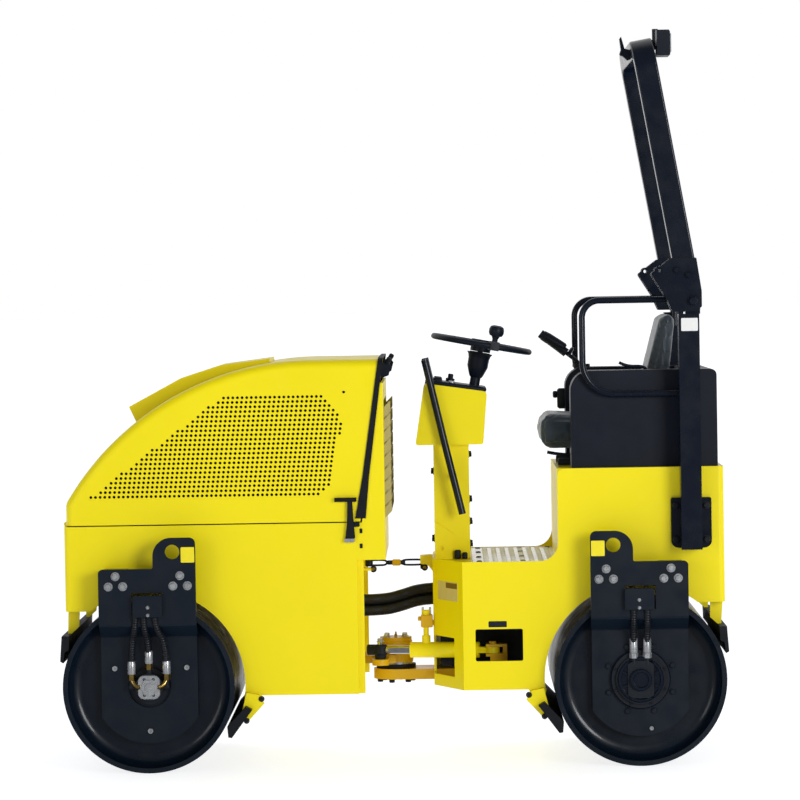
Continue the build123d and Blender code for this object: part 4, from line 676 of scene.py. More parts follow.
class ROLLER_OT_plates(Operator):
    """Bolts up the drum plates and motors and lays the blank films"""

    bl_idname = "roller.plates"
    bl_label = "Drum plates"

    def execute(self, context):
        for end, word, body in ENDS:
            parts = {name: bmesh.new() for name in PLATE_FINISH}
            for side, _ in SIDES:
                self.plate(parts, end, side)
                if side == end:
                    self.vibration_motor(parts, end, side)
                    self.elbows(end, side, word, body)
                else:
                    self.drive_motor(parts, end, side)
            self.scrapers(parts, end)
            pieces(body, *((word + "_" + name, bm, PLATE_FINISH[name]) for name, bm in parts.items()))
        return {"FINISHED"}

    def plate(self, parts, end, side):
        """Bolts, blank film and hose cover of one plate."""
        out = (0, side, 0)
        across = sizes().bolt_size / MM
        for number, (u, z) in enumerate(PLATE_BOLTS):
            place = beside_axle(end, side, u, PLATE_FACE_Y, z)
            hex_bolt(parts["plate_bolts"], place, out, across, 0.3 * number)
        film_place = beside_axle(end, side, PLATE_FILM[0], PLATE_FACE_Y, PLATE_FILM[1])
        side_slab(parts["plate_films"], rounded(44, 50, 3), film_place, side, 0.6, 0.2)
        cover_place = beside_axle(end, side, -3, COVER_Y, COVER_Z)
        side_slab(parts["plate_clamps"], rounded(96, 70, 5), cover_place, side, 4, 1.5)
        for z in COVER_BOLTS_Z:
            hex_bolt(parts["plate_bolts"], beside_axle(end, side, -4, COVER_Y + 3.5, z), out, across * 0.4)
        for u in COVER_WALLS:
            place = beside_axle(end, side, u, PLATE_FACE_Y, COVER_Z)
            rise = COVER_Y - PLATE_FACE_Y
            side_slab(parts["plate_clamps"], rounded(8, 66, 2), place, side, rise, 0.5)

    def vibration_motor(self, parts, end, side):
        """Foot bolts, cast cover and port fittings of the vibration motor."""
        out = (0, side, 0)
        bright = parts["plate_bolts"]
        for u, z in FOOT_BOLTS:
            socket_bolt(bright, beside_axle(end, side, u, FOOT_FACE_Y, z), out, 18)
        face = Vector(beside_axle(end, side, 0, MOTOR_FACE_Y, AXLE_Z))
        side_slab(bright, rounded(72, 78, 20), face, side, 6, 2)
        side_slab(bright, lobed(27, 2.5, 6), face, side, 9, 2)
        turned_body(bright, [(15, 6), (15, 10), (11, 13)], face, out, 28)
        for _, spoke in spokes(6):
            socket_bolt(parts["plate_clamps"], face + spoke * 30 + Vector(out) * 4, out, 9)
        for u, rise in VIBRATION_PORTS:
            place = beside_axle(end, side, u, PORT_Y, AXLE_Z + rise)
            turned_body(bright, hose_sleeve(46), place, UP, 24)
            turned_body(parts["port_nuts"], [(13.5, -16), (13.5, 2), (12, 4)], place, UP, 6)

    def elbows(self, end, side, word, body):
        """Brass elbows from the outer ports to the vibration motor's cover."""
        face = Vector(beside_axle(end, side, 0, MOTOR_FACE_Y, AXLE_Z))
        for name, u in (("out", PORT_U), ("in", -PORT_U)):
            port = Vector(beside_axle(end, side, u, PORT_Y, AXLE_Z + OUTER_PORT_RISE))
            points = [port, port + Vector((0, 0, -34)), face + Vector((end * u * 0.5, side * 4, 0))]
            bar_piece("%s_port_elbow_%s" % (word, name), points, 9, body, "brass")

    def drive_motor(self, parts, end, side):
        """Ribbed casting, bolts and port fittings of the drive motor."""
        out = (0, side, 0)
        casting, dark, bright = parts["motor_casting"], parts["plate_clamps"], parts["plate_bolts"]
        middle = Vector(beside_axle(end, side, 0, FOOT_FACE_Y, AXLE_Z))
        for radius, start, rise in CASTING_RINGS:
            top = start + rise
            profile = [(radius, start), (radius + 3, start + 2), (radius + 3, top - 3), (radius, top),
                       (radius - 7, top), (radius - 9, start + 2)]
            turned_body(casting, profile, middle, out, 40)
        for angle, spoke in spokes(8, 0.5):
            along = spoke * side
            rib_place = middle + spoke * 57 + Vector(out) * 26
            slab(casting, rounded(24, 9, 3), rib_place, along, Vector(out).cross(along), 8, 2.5)
            hex_bolt(dark, middle + spoke * 113, out, 15, angle)
            socket_bolt(dark, middle + spoke * 86 + Vector(out) * 16, out, 9)
        for u in DRIVE_PORTS:
            place = beside_axle(end, side, u, DRIVE_PORT_Y, AXLE_Z + DRIVE_PORT_RISE)
            turned_body(bright, hose_sleeve(52), place, UP, 24)
            turned_body(bright, [(14.5, -14), (14.5, 2), (12.5, 4)], place, UP, 6)
        u, z = DRIVE_FOOT_BOLT
        socket_bolt(bright, beside_axle(end, side, u, FOOT_FACE_Y, z), out, 14)

    def scrapers(self, parts, end):
        """Arms of the scraper on the drum's inner side, and their bolts."""
        outline = [(end * x, z) for x, z in SCRAPER_ARM]
        for y in SCRAPER_Y:
            slab(parts["scraper_arms"], outline, (0, y, 0), AHEAD, UP, 40, 3)
            for x, z in SCRAPER_BOLTS:
                hex_bolt(parts["plate_clamps"], (end * x, y, z), (0, 1, 0), 13)


# Motor hoses: start beside the axle, port beside and over the axle, port's Y, length in metres
VIBRATION_HOSES = tuple((start_u, *port, PORT_Y, length) for (start_u, length), port in
                        zip(((38, 0.36), (12, 0.32), (-24, 0.36)), VIBRATION_PORTS))
DRIVE_HOSES = tuple((u, u, DRIVE_PORT_RISE, DRIVE_PORT_Y, 0.30) for u in DRIVE_PORTS)
HOSE_OVER_Z = 577
HOSE_OUT_Y = 480
HOSE_BEND_Z = 480
HOSE_DROP_Z = 425
# Hoses across the pivot: offset to the side and in height, and length in metres
BUNDLE = ((18, 18, 0.315), (19, -18, 0.315), (-19, 2, 0.315))
# Run of a hose across the pivot: X, share of its side offset, and height
BUNDLE_RUN = ((-165, 1, 540), (-90, 1, 540), (-20, 1.1, 517), (40, 1, 503),
              (140, 1, 503))


def motor_hose(name, points, body, node):
    """A wrapped hose from the plate's slot down to its motor's port."""
    width = sizes().hose_width
    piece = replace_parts(bar_piece(name, points, width / MM / 2, body, "hose_down"), node)


def pivot_hose(name, points):
    """A sleeved hose across the steering pivot."""
    width = sizes().bundle_hose
    line = [vertex.co.copy() for vertex in baked(bar_drawing(name + "_line", points, 0)).vertices]
    piece = link(name, baked(bar_drawing(name + "_drawing", points, width / MM / 2)))
    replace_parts(coat(piece, "hose_along"), "hose_bundle")
    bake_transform(piece)


class ROLLER_OT_hoses(Operator):
    """Runs the motor hoses and the hoses across the pivot"""

    bl_idname = "roller.hoses"
    bl_label = "Hoses"

    def execute(self, context):
        for end, word, body in ENDS:
            for hoses, side, letter in ((VIBRATION_HOSES, end, "v"), (DRIVE_HOSES, -end, "d")):
                for number, (start_u, end_u, rise, port_y, length) in enumerate(hoses):
                    route = ((start_u, FOOT_FACE_Y, HOSE_OVER_Z), (start_u, HOSE_OUT_Y, HOSE_OVER_Z),
                             (start_u, HOSE_OUT_Y, HOSE_BEND_Z), (end_u, port_y, HOSE_DROP_Z),
                             (end_u, port_y, AXLE_Z + rise))
                    points = [beside_axle(end, side, *knot) for knot in route]
                    name = "%s_motor_hose_%s%d" % (word, letter, number + 1)
                    motor_hose(name, points, body, word + "_motor_hoses")
        for number, (y, rise, length) in enumerate(BUNDLE):
            points = [(x, y * share, z + rise) for x, share, z in BUNDLE_RUN]
            pivot_hose("pivot_hose_%d" % (number + 1), points)
        return {"FINISHED"}


# Pivot: radius and height of the flange's bolts, and heights of the hub's top and of its ring
FLANGE_BOLTS_R = 56
FLANGE_BOLTS_Z = 257
HUB_TOP_Z = 394.8
HUB_RING_Z = 376
HUB_BOLTS = ((-30, 22), (30, 22), (-30, -22), (30, -22))
CYLINDER_RUN = (Vector(BARREL_PIN) - Vector(ROD_PIN)).normalized()
# Valve on the barrel: distance from the barrel's pin along the cylinder
VALVE_REACH = 221.8
# Transport lock: name, start and reach of each open link, and X and Z of its two pins
LOCK_LINKS = (("lock_link_rear", -98, 74), ("lock_link_front", 92, -66))
LOCK_PINS = ((71, LOCK_Z - 20), (-101, LOCK_Z - 17))
LOCK_NUT_X = -6
LOCK_BRACKET = ((0, -30), (14, -12), (42, -4), (42, 23), (10, 26), (0, 24))


class ROLLER_OT_pivot(Operator):
    """Bolts up the steering pivot and dresses the transport lock"""

    bl_idname = "roller.pivot"
    bl_label = "Pivot"

    def execute(self, context):
        self.dress_hub()
        self.dress_rod()
        self.dress_valve()
        self.dress_lock()
        return {"FINISHED"}

    def dress_hub(self):
        """Bolts under the flange, bolts and ring of the hub, and its grease nipple."""
        below, above, nipple, ring = meshes(4)
        for angle in turns(6, 0.25):
            place = (FLANGE_BOLTS_R * math.cos(angle), FLANGE_BOLTS_R * math.sin(angle), FLANGE_BOLTS_Z)
            hex_bolt(below, place, (0, 0, -1), 17, angle)
        for x, y in HUB_BOLTS:
            hex_bolt(above, (x, y, HUB_TOP_Z), UP, 16, 0.2 * x)
        turned_body(ring, chamfered(55.5, (0, 2, 5, 7), (2, 2)), (0, 0, HUB_RING_Z), UP, 40)
        profile = [(5, 0), (5, 8), (3, 9), (3.5, 14), (2, 17)]
        turned_body(nipple, profile, (0, 0, HUB_TOP_Z), UP, 12)
        pieces("rear_frame", ("pivot_bolts", below, "cast_iron"))
        pieces("center_section", ("hub_bolts", above, "zinc_steel"), ("hub_ring", ring, "hub_paint"),
               ("grease_nipple", nipple, "brass"))

    def dress_rod(self):
        """Forged eye on the cylinder's rod, with its sleeve, collar and bolt."""
        eye, bolt = meshes(2)
        turned_body(eye, chamfered(24, (-17, -13, 13, 17), (4, 4)), ROD_PIN, UP, 32)
        turned_body(eye, chamfered(18, (-44, -40, 18, 20), (2, 2)), ROD_PIN, CYLINDER_RUN, 24)
        turned_body(eye, [(19, -30), (19, -17)], ROD_PIN, UP, 24)
        hex_bolt(bolt, Vector(ROD_PIN) + Vector((0, 0, 26)), UP, 17)
        pieces("steer_rod", ("rod_eye_shell", eye, "cast_iron"), ("rod_eye_bolt", bolt, "zinc_steel"))

    def dress_valve(self):
        """Valve on the riser of the cylinder's barrel, with its plugs and pipe stubs."""
        valve, tubes = meshes(2)
        seat = Vector(BARREL_PIN) - CYLINDER_RUN * VALVE_REACH
        slab(valve, rounded(40, 42, 5), seat + Vector((-3, -17, 96)), (-1, 0, 0), UP, 34, 3)
        plug = chamfered(11, (0, 3, 9, 12), (2, 3))
        turned_body(valve, plug, seat + Vector((-23, 0, 90)), (-1, 0, 0), 6)
        plug = [(8, 0), (8, 8), (6, 10)]
        turned_body(valve, plug, seat + Vector((17, 0, 104)), AHEAD, 6)
        for x in (-14, 10):
            turned_body(tubes, [(4, 0), (4, 24), (3, 26)], seat + Vector((x, 0, 116)), UP, 12)
        pieces("steer_barrel", ("riser_valve", valve, "hub_paint"), ("riser_tubes", tubes, "zinc_steel"))

    def dress_lock(self):
        """Turnbuckle with open links, brackets and the yellow nut of the transport lock."""
        for name, start, reach in LOCK_LINKS:
            end, middle = start + reach, start + reach * 0.5
            loop = [(start, 0, LOCK_Z + 8), (middle, 0, LOCK_Z + 9), (end, 0, LOCK_Z + 8),
                    (end, 0, LOCK_Z - 8), (middle, 0, LOCK_Z - 9), (start, 0, LOCK_Z - 8)]
            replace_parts(bar_piece(name, loop, 3.4, "rear_frame", "cast_iron", True), "lock_bar")
        nut, body, bracket, knobs = meshes(4)
        for x, z in LOCK_PINS:
            pin = chamfered(11, (-8, -6, 6, 8), (4, 4))
            turned_body(body, pin, (x, 16, z), (0, 1, 0), 24)
            turned_body(knobs, [(5.5, 0), (5.5, 9), (3.5, 11)], (x, 16, z), (0, 1, 0), 16)
        middle = (LOCK_NUT_X, 0, LOCK_Z)
        turned_body(nut, chamfered(12, (-14, -11, 11, 14), (3, 3)), middle, AHEAD, 6)
        turned_body(body, chamfered(7.5, (-30, -26, 28, 34), (2.5, 2.5)), middle, AHEAD, 20)
        rear_boss = chamfered(11, (0, 2, 38, 40), (2, 2))
        turned_body(body, rear_boss, (-97, 0, LOCK_Z - 23), UP, 20)
        front_boss = chamfered(13, (0, 3, 21, 24), (3, 3))
        turned_body(body, front_boss, (86, 0, LOCK_Z - 12), UP, 20)
        slab(bracket, LOCK_BRACKET, (-128, 22, LOCK_Z), AHEAD, UP, 44, 3)
        for piece in pieces("rear_frame", ("lock_nut", nut, "hub_paint"), ("lock_knobs", knobs, "brass"),
                            ("lock_body", body, "cast_iron"), ("lock_bracket", bracket, "yellow_paint")):
            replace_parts(piece, "lock_bar")


# Pads: CAD node, side outline in X and Z, half width, and how far a point may swell
PADS = (
    ("seat_cushion", ((-489, 1035), (-895, 1035), (-895, 1112), (-489, 1135)), 204, 9),
    ("seat_back", ((-820, 1132), (-893, 1130), (-935, 1482), (-912, 1484)), 192, 12),
)
PAD_EDGE = 13
PAD_PRESSURE = 4


def apply_modifier(piece, name):
    """Applies one modifier of the piece."""
    bpy.context.view_layer.objects.active = piece
    bpy.ops.object.modifier_apply(modifier=name)


def pad_block(name, outline, half):
    """Block of a pad with rounded edges, remeshed to even faces."""
    bm = bmesh.new()
    skin(bm, [[bm.verts.new(Vector((x, y, z)) * MM) for x, z in outline] for y in (-half, half)])
    bmesh.ops.recalc_face_normals(bm, faces=bm.faces)
    bmesh.ops.bevel(bm, geom=bm.edges[:], offset=PAD_EDGE * MM, segments=3, affect="EDGES")
    mesh = bpy.data.meshes.new(name)
    bm.to_mesh(mesh)
    bm.free()
    piece = link(name, mesh)
    remesh = piece.modifiers.new("remesh", "REMESH")
    remesh.mode = "VOXEL"
    remesh.voxel_size = sizes().pad_voxel
    apply_modifier(piece, "remesh")
    return piece


def blow_up(piece):
    """Swells a pad by a short cloth simulation under pressure."""
    scene = bpy.context.scene
    cloth = piece.modifiers.new("cloth", "CLOTH")
    cloth.settings.use_pressure = True
    cloth.settings.uniform_pressure_force = PAD_PRESSURE
    cloth.settings.effector_weights.gravity = 0
    cloth.settings.quality = 4
    cloth.point_cache.frame_end = sizes().pad_frames
    for step in range(1, sizes().pad_frames + 1):
        scene.frame_set(step)
    apply_modifier(piece, "cloth")
    scene.frame_set(1)


def pad_piece(node, outline, half, reach):
    """Seat pad blown up from a slightly smaller block, with a bound on how far it swells."""
    piece = pad_block(node + "_pad", outline, half)
    rest = [vertex.co.copy() for vertex in piece.data.vertices]
    blow_up(piece)
    for vertex, start in zip(piece.data.vertices, rest):
        move = vertex.co - start
        if move.length > reach * MM:
            vertex.co = start + move.normalized() * reach * MM
    smooth = piece.modifiers.new("round", "SUBSURF")
    smooth.levels = 1
    smooth.render_levels = 1
    apply_modifier(piece, "round")
    piece.data.shade_smooth()
    settle(piece, "rear_frame", "vinyl")
    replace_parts(piece, node)
    return piece


class ROLLER_OT_seat(Operator):
    """Blows up the seat's pads"""

    bl_idname = "roller.seat"
    bl_label = "Seat"

    def execute(self, context):
        for node, outline, half, reach in PADS:
            pad_piece(node, outline, half, reach)
        return {"FINISHED"}


# Chequer plate: its corner, its length and width, and the outline and rise of a rib
TREAD_CORNER = (-530, -360)
TREAD_FIELD = (258, 720)
TREAD_RIB = ((-13, 0), (-6, -3.4), (6, -3.4), (13, 0), (6, 3.4), (-6, 3.4))
TREAD_RISE = 1.8
# Console: slope and middle of its top
CONSOLE_SLOPE = Vector((209, 0, 31)).normalized()
CONSOLE_MIDDLE = Vector((-213.5, 0, 1231.5))
TRIM_THICK = 13
# Profiles of the turned pieces at the operator's place
KEY_SWITCH = ((15, 0), (15, 10), (9, 12), (9, 24), (7, 26))
CONSOLE_LAMP = ((11, 0), (11, 4), (8, 5), (8, 3.5))
COLUMN_COWL = ((19, -114), (24, -106), (34.5, -77), (35, -50), (38, -38), (43, -31),
               (43, -30), (17, -29))
MUSHROOM_KNOB = ((10, 12), (9, 24), (13, 34), (21, 37), (25, 46), (25, 58), (21.5, 66.5),
                 (12, 71))
LEVER_BOOT = ((11, -4), (18, -2), (18, 5), (12, 9))
LEVER_GRIP = ((12, 24), (16, 30), (17, 48), (18.5, 92), (17, 112), (10, 119))
# Drive lever's top and slant, and the switch box beside it
LEVER_TOP = (-612, -286.5, 1336)
LEVER_SLANT = (0.85, 0, 0.525)
SWITCH_BOX = (-588, -286, 1178)
# Bars: seat slide lever and belt stalk
SLIDE_LEVER = ((-640, 150, 1004), (-575, 150, 999), (-514, 150, 1013))
BELT_STALK = ((-840, 262, 1284), (-836, 262, 1296), (-775, 262, 1295), (-752, 262, 1309))
# Dark walls behind the service windows, painted shade for the dark inside of the machine
SHADE_WALL = ((-440, 306), (-440, 640), (-150, 640), (-150, 306))
SHADE_WALL_Y = 112
# Bolts: X and heights on the pedestal's two faces, X and Z at the roll bar's feet, X and Y on the floor
PEDESTAL_Y = 74
PEDESTAL_FRONT = (-136.3, (950, 724))
PEDESTAL_BACK = (-254.3, (1005, 855, 780, 705))
POST_FOOT_BOLTS = ((-1024, 732), (-922, 732), (-1024, 842), (-922, 842))
POST_FOOT_Y = 392
FLOOR_BOLTS = ((-282, 330), (-425, 330), (-520, 330), (-282, 120), (-425, 120))
# Corner panel of the rear frame: its run and the middle of its film
CORNER_RUN = Vector((97, -205, 0)).normalized()
CORNER_FILM = Vector((-176.5, 277.5, 566))
FILM_THICK = 0.6


def floor_tread(bm):
    """Raised ribs of the chequer plate, turned by a quarter from one to the next."""
    pitch = sizes().tread_pitch / MM
    for i in range(int(TREAD_FIELD[0] / pitch)):
        for j in range(int(TREAD_FIELD[1] / pitch)):
            turn = math.radians(45 if (i + j) % 2 else -45)
            centre = (TREAD_CORNER[0] + (i + 0.5) * pitch, TREAD_CORNER[1] + (j + 0.5) * pitch, FLOOR_TOP_Z)
            right = (math.cos(turn), math.sin(turn), 0)
            up = (-math.sin(turn), math.cos(turn), 0)
            slab(bm, TREAD_RIB, centre, right, up, TREAD_RISE, 1.4)


class ROLLER_OT_station(Operator):
    """Fits out the operator's place: console, floor, pedestal and labels"""

    bl_idname = "roller.station"
    bl_label = "Operator's place"

    def execute(self, context):
        tread = bmesh.new()
        floor_tread(tread)
        pieces("rear_frame", ("floor_tread", tread, "chequer"))
        self.console()
        self.steering()
        self.seat_fittings()
        self.shade_walls()
        self.fasteners()
        self.labels()
        return {"FINISHED"}

    def console(self):
        """Black panel on the console's slanted top with its switches and lamps."""
        across = (0, 1, 0)
        normal = CONSOLE_SLOPE.cross(Vector(across))
        top = CONSOLE_MIDDLE + normal * TRIM_THICK
        trim, keys, lamps = meshes(3)
        slab(trim, rounded(206, 236, 12), CONSOLE_MIDDLE, CONSOLE_SLOPE, across, TRIM_THICK, 5)
        for number in range(5):
            place = top + CONSOLE_SLOPE * 62 + Vector((0, -76 + 38 * number, 0))
            slab(keys, rounded(30, 22, 4), place, CONSOLE_SLOPE, across, 12, 5)
        for number in range(3):
            place = top + CONSOLE_SLOPE * 14 + Vector((0, 40 + 26 * number, 0))
            turned_body(lamps, CONSOLE_LAMP, place, normal, 20)
        turned_body(keys, KEY_SWITCH, top + CONSOLE_SLOPE * 20 + Vector((0, -70, 0)), normal, 20)
        pieces("rear_frame", ("console_trim", trim, "black_plastic"),
               ("console_switches", keys, "black_plastic"), ("console_lamps", lamps, "zinc_steel"))

    def steering(self):
        """Flared cowl under the steering wheel and the mushroom knob on its rim."""
        cowl, knob = meshes(2)
        axis = (-math.sin(WHEEL_TILT), 0, math.cos(WHEEL_TILT))
        turned_body(cowl, COLUMN_COWL, WHEEL_CENTRE, axis, 36)
        turned_body(knob, MUSHROOM_KNOB, WHEEL_KNOB, axis, 28)
        pieces("rear_frame", ("column_cowl", cowl, "black_plastic"))
        pieces("steering_wheel", ("wheel_knob", knob, "black_plastic"))

    def seat_fittings(self):
        """Slide rails and lever of the seat, switch box, belt stalk, and grip of the drive lever."""
        rails, box = meshes(2)
        for side, _ in SIDES:
            slab(rails, rounded(330, 30, 4), (-715, side * 120, 968.2), AHEAD, (0, 1, 0), 22, 3)
        slab(box, rounded(44, 70, 9), SWITCH_BOX, (0, 1, 0), UP, 26, 6)
        button = Vector(SWITCH_BOX) + Vector((26, 0, 14))
        turned_body(box, chamfered(12, (0, 3, 12, 15), (2, 4)), button, AHEAD, 20)
        turned_body(box, LEVER_BOOT, LEVER_TOP, LEVER_SLANT, 24)
        turned_body(box, LEVER_GRIP, LEVER_TOP, LEVER_SLANT, 24)
        pieces("rear_frame", ("seat_rails", rails, "cast_iron"), ("console_switch_box", box, "black_plastic"))
        bar_piece("seat_slide_lever", SLIDE_LEVER, 5.5, "rear_frame", "black_plastic")
        bar_piece("belt_stalk", BELT_STALK, 5, "rear_frame", "black_plastic")

    def shade_walls(self):
        """Dark walls behind the service windows: painted shade for the dark inside seen through them."""
        walls = bmesh.new()
        for side, _ in SIDES:
            slab(walls, SHADE_WALL, (0, side * SHADE_WALL_Y, 0), AHEAD, UP, 4, 1)
        pieces("rear_frame", ("window_shade_walls", walls, "cast_iron"))

    def fasteners(self):
        """Small bolts of the pedestal, floor and roll bar's feet, and the fittings behind the pedestal."""
        dark = bmesh.new()
        for side, _ in SIDES:
            for (x, heights), way in ((PEDESTAL_FRONT, 1), (PEDESTAL_BACK, -1)):
                for z in heights:
                    hex_bolt(dark, (x, side * PEDESTAL_Y, z), (way, 0, 0), 13)
            for x, z in POST_FOOT_BOLTS:
                hex_bolt(dark, (x, side * POST_FOOT_Y, z), (0, side, 0), 18)
            for x, y in FLOOR_BOLTS:
                turned_body(dark, [(9, 0), (9, 2), (6, 4)], (x, side * y, FLOOR_TOP_Z), UP, 16)
            tall = chamfered(11, (0, 4, 26, 30), (2, 3))
            turned_body(dark, tall, (-212, side * 108, 660), UP, 16)
            low = chamfered(9, (0, 3, 18, 22), (1, 3))
            turned_body(dark, low, (-236, side * 112, 660), UP, 16)
        pieces("rear_frame", ("station_bolts", dark, "cast_iron"))

    def labels(self):
        """Blank films where the machine carries its signs."""
        white, brown, black, cream = meshes(4)
        side_slab(white, rounded(54, 42, 3), (-973, 462, 1432), 1, FILM_THICK, 0.2)
        slab(cream, rounded(150, 62, 4), CORNER_FILM, -CORNER_RUN, UP, FILM_THICK, 0.2)
        band = CORNER_FILM + Vector((0, 0, 19)) + CORNER_RUN * -30
        slab(brown, rounded(84, 18, 2), band, -CORNER_RUN, UP, 1, 0.2)
        side_slab(black, rounded(60, 20, 3), (-338, SIDE_Y, 463), 1, FILM_THICK, 0.2)
        pieces("rear_frame", ("post_film", white, "film_white"), ("corner_film", cream, "film_cream"),
               ("corner_band", brown, "film_brown"), ("window_film", black, "film_black"))


# Fold joint of the roll bar: outer face and middles of its cheeks, places from the fold axis of its lock
CHEEK_FACE_Y = 465
CHEEK_MIDDLES_Y = (394, 460)
LOCK_BOLTS = ((14, 84), (52, 100))
LOCK_EYE = (110, 99.8)
LOCK_EYE_BUSH = ((6, -6), (12, -6), (13, -5), (13, 5), (12, 6), (6, 6))
# Work lamp behind the top bar, and side outline of the bracket in front of it
LAMP_Y = 300
LAMP_Z = 2350
CROWN_BRACKET = ((-803, 2300), (-790, 2296), (-773, 2312), (-766, 2366), (-772, 2374),
                 (-783, 2334), (-803, 2330))


class ROLLER_OT_roll_bar(Operator):
    """Pins and locks the folding roll bar and glazes its lamp"""

    bl_idname = "roller.roll_bar"
    bl_label = "Roll bar"

    def execute(self, context):
        pins, locks, lens, rim, crown = meshes(5)
        for side, _ in SIDES:
            out = (0, side, 0)
            for y in CHEEK_MIDDLES_Y:
                place = (FOLD[0] + LOCK_EYE[0], side * y, FOLD[1] + LOCK_EYE[1])
                turned_body(locks, LOCK_EYE_BUSH, place, out, 28, loop=True)
            hex_bolt(pins, (FOLD[0], side * CHEEK_FACE_Y, FOLD[1]), out, 26)
            for u, w in LOCK_BOLTS:
                hex_bolt(locks, (FOLD[0] + u, side * CHEEK_FACE_Y, FOLD[1] + w), out, 17, 0.3)
        slab(rim, rounded(106, 80, 10), (-926, LAMP_Y, LAMP_Z), (0, -1, 0), UP, 4, 1.5)
        slab(lens, rounded(90, 64, 7), (-930, LAMP_Y, LAMP_Z), (0, -1, 0), UP, 4, 2.5)
        slab(crown, CROWN_BRACKET, (0, LAMP_Y + 16, 0), AHEAD, UP, 32, 3)
        stud = chamfered(11, (0, 3, 14, 17), (2, 4))
        turned_body(crown, stud, (-784, LAMP_Y, 2318), (0.9, 0, 0.3), 18)
        pieces("roll_bar", ("crown_bracket", crown, "black_paint"), ("fold_pins", pins, "black_paint"),
               ("fold_locks", locks, "black_paint"), ("lamp_rim", rim, "black_plastic"),
               ("lamp_lens", lens, "lens"))
        return {"FINISHED"}


# Studio: white wall behind the machine, dim room in front of it and glowing floor
ROOM_LIGHT = 0.2
FLOOR_GLOW = 0.8
FLOOR_SIZE = 400.0
WHITE = (1.0, 1.0, 1.0, 1.0)
# Softboxes: name, place, aim, size and power
SOFTBOXES = (
    ("left_softbox", (5.5, 7.5, 2.2), (0, 0, 0.8), 3.5, 80.0),
    ("right_softbox", (-5.0, 8.0, 2.4), (0, 0, 0.8), 3.5, 340.0),
)
# Camera: far off on the machine's left, with a long lens
CAMERA_PLACE = (-0.178, 13.45, 1.575)
CAMERA_LOOK = (45.0 / 4011.0, -1.0, -115.0 / 4011.0)
CAMERA_ROLL = math.radians(-0.95)
CAMERA_LENS = 180.5
SENSOR_WIDTH = 36.0


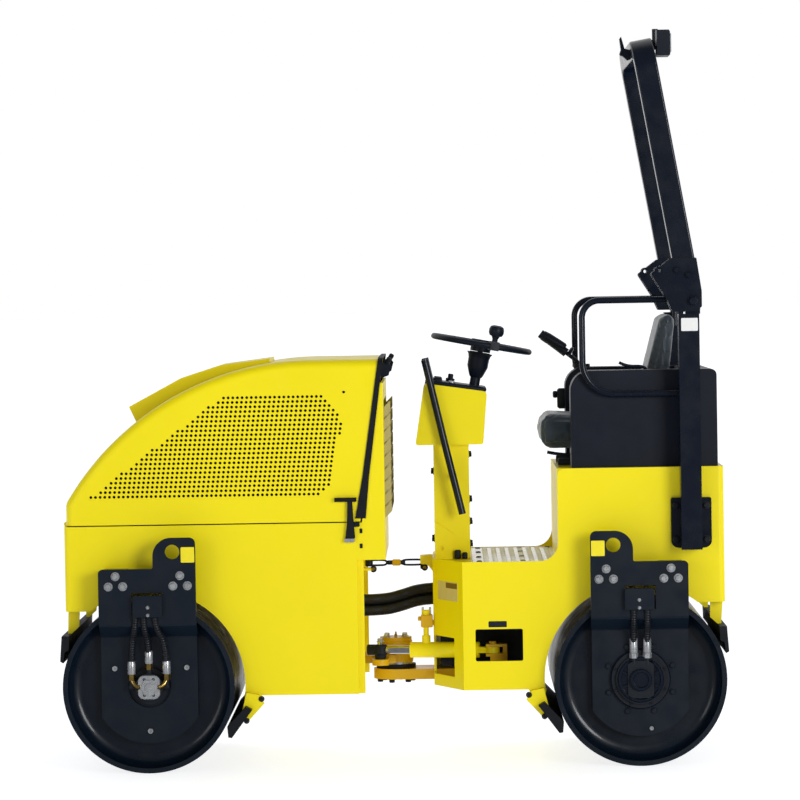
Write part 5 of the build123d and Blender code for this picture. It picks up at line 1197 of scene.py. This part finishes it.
class ROLLER_OT_stage(Operator):
    """Lays the pale floor, hangs the soft lights and sets the camera"""

    bl_idname = "roller.stage"
    bl_label = "Stage"

    def execute(self, context):
        self.lay_floor(context)
        self.fill_air(context.scene)
        self.hang_lamps(context.scene)
        self.set_camera(context.scene)
        context.scene.view_settings.view_transform = "Standard"
        return {"FINISHED"}

    def lay_floor(self, context):
        """Paper sweep under the machine, with a glow that carries it to white."""
        paper, tree, shader = new_material("matt paper sweep", **{"Emission Color": WHITE,
                                                                  "Emission Strength": FLOOR_GLOW})
        place = add(tree, "ShaderNodeTexCoord").outputs["Object"]
        pale = colours().floor_pale
        tint_and_gloss(tree, shader, place, pale, darker(pale, 0.02), 900.0, 60.0, (0.85, 0.95))
        bpy.ops.mesh.primitive_plane_add(size=FLOOR_SIZE, location=(0, 0, 0))
        floor = context.object
        floor.name = "studio_floor"
        floor.data.materials.append(paper)
        floor.visible_glossy = False

    def fill_air(self, scene):
        """World that is white behind the machine and to the eye, and dim in front."""
        world = bpy.data.worlds.new("studio_air")
        scene.world = world
        world.use_nodes = True
        air = world.node_tree
        seen = add(air, "ShaderNodeLightPath").outputs["Is Camera Ray"]
        heading = add(air, "ShaderNodeTexCoord").outputs["Generated"]
        depth = add(air, "ShaderNodeSeparateXYZ", {"Vector": heading}).outputs["Y"]
        wall = add(air, "ShaderNodeMapRange", {"Value": depth, "From Min": -0.35, "From Max": 0.05,
                                               "To Min": 1.0, "To Max": ROOM_LIGHT})
        strength = add(air, "ShaderNodeMath", {0: seen, 1: wall.outputs["Result"]}, operation="MAXIMUM")
        background = air.nodes["Background"]
        air.links.new(strength.outputs["Value"], background.inputs["Strength"])
        background.inputs["Color"].default_value = WHITE

    def hang_lamps(self, scene):
        """Round softboxes to both sides of the camera."""
        for name, place, aim, size, power in SOFTBOXES:
            lamp = bpy.data.lights.new(name, "AREA")
            lamp.shape = "DISK"
            lamp.size = size
            lamp.energy = power
            holder = link(name, lamp)
            holder.location = place
            holder.rotation_euler = (Vector(aim) - Vector(place)).to_track_quat("-Z", "Y").to_euler()

    def set_camera(self, scene):
        """Camera that sees the machine's left side as the photograph does."""
        lens = bpy.data.cameras.new("side_camera")
        lens.sensor_width = SENSOR_WIDTH
        lens.lens = CAMERA_LENS
        lens.clip_end = FLOOR_SIZE
        camera = link("side_camera", lens)
        camera.location = CAMERA_PLACE
        roll = Quaternion((0, 0, 1), CAMERA_ROLL)
        camera.rotation_euler = (Vector(CAMERA_LOOK).to_track_quat("-Z", "Y") @ roll).to_euler()
        scene.camera = camera


class ROLLER_PT_sidebar(Panel):
    """Sidebar panel with the machine's settings and steps"""

    bl_label = "Road roller"
    bl_space_type = "VIEW_3D"
    bl_region_type = "UI"
    bl_category = "Roller"

    def draw(self, context):
        for group in (context.scene.roller_colours, context.scene.roller_sizes):
            for name in group.__annotations__:
                self.layout.prop(group, name)
        for step in STEPS:
            self.layout.operator(step.bl_idname)


STEPS = (ROLLER_OT_finishes, ROLLER_OT_hood, ROLLER_OT_plates, ROLLER_OT_hoses, ROLLER_OT_pivot,
         ROLLER_OT_seat, ROLLER_OT_station, ROLLER_OT_roll_bar, ROLLER_OT_stage)
CLASSES = (RollerColours, RollerSizes, *STEPS, ROLLER_PT_sidebar)


def register():
    """Registers the classes and hangs the settings on the scene."""
    for kind in CLASSES:
        bpy.utils.register_class(kind)
    bpy.types.Scene.roller_colours = PointerProperty(type=RollerColours)
    bpy.types.Scene.roller_sizes = PointerProperty(type=RollerSizes)


def unregister():
    """Takes the settings and the classes away again."""
    del bpy.types.Scene.roller_colours
    del bpy.types.Scene.roller_sizes
    for kind in reversed(CLASSES):
        bpy.utils.unregister_class(kind)


def main():
    """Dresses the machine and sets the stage."""
    register()
    for step in STEPS:
        group, name = step.bl_idname.split(".")
        getattr(getattr(bpy.ops, group), name)()


if __name__ == "__main__":
    main()
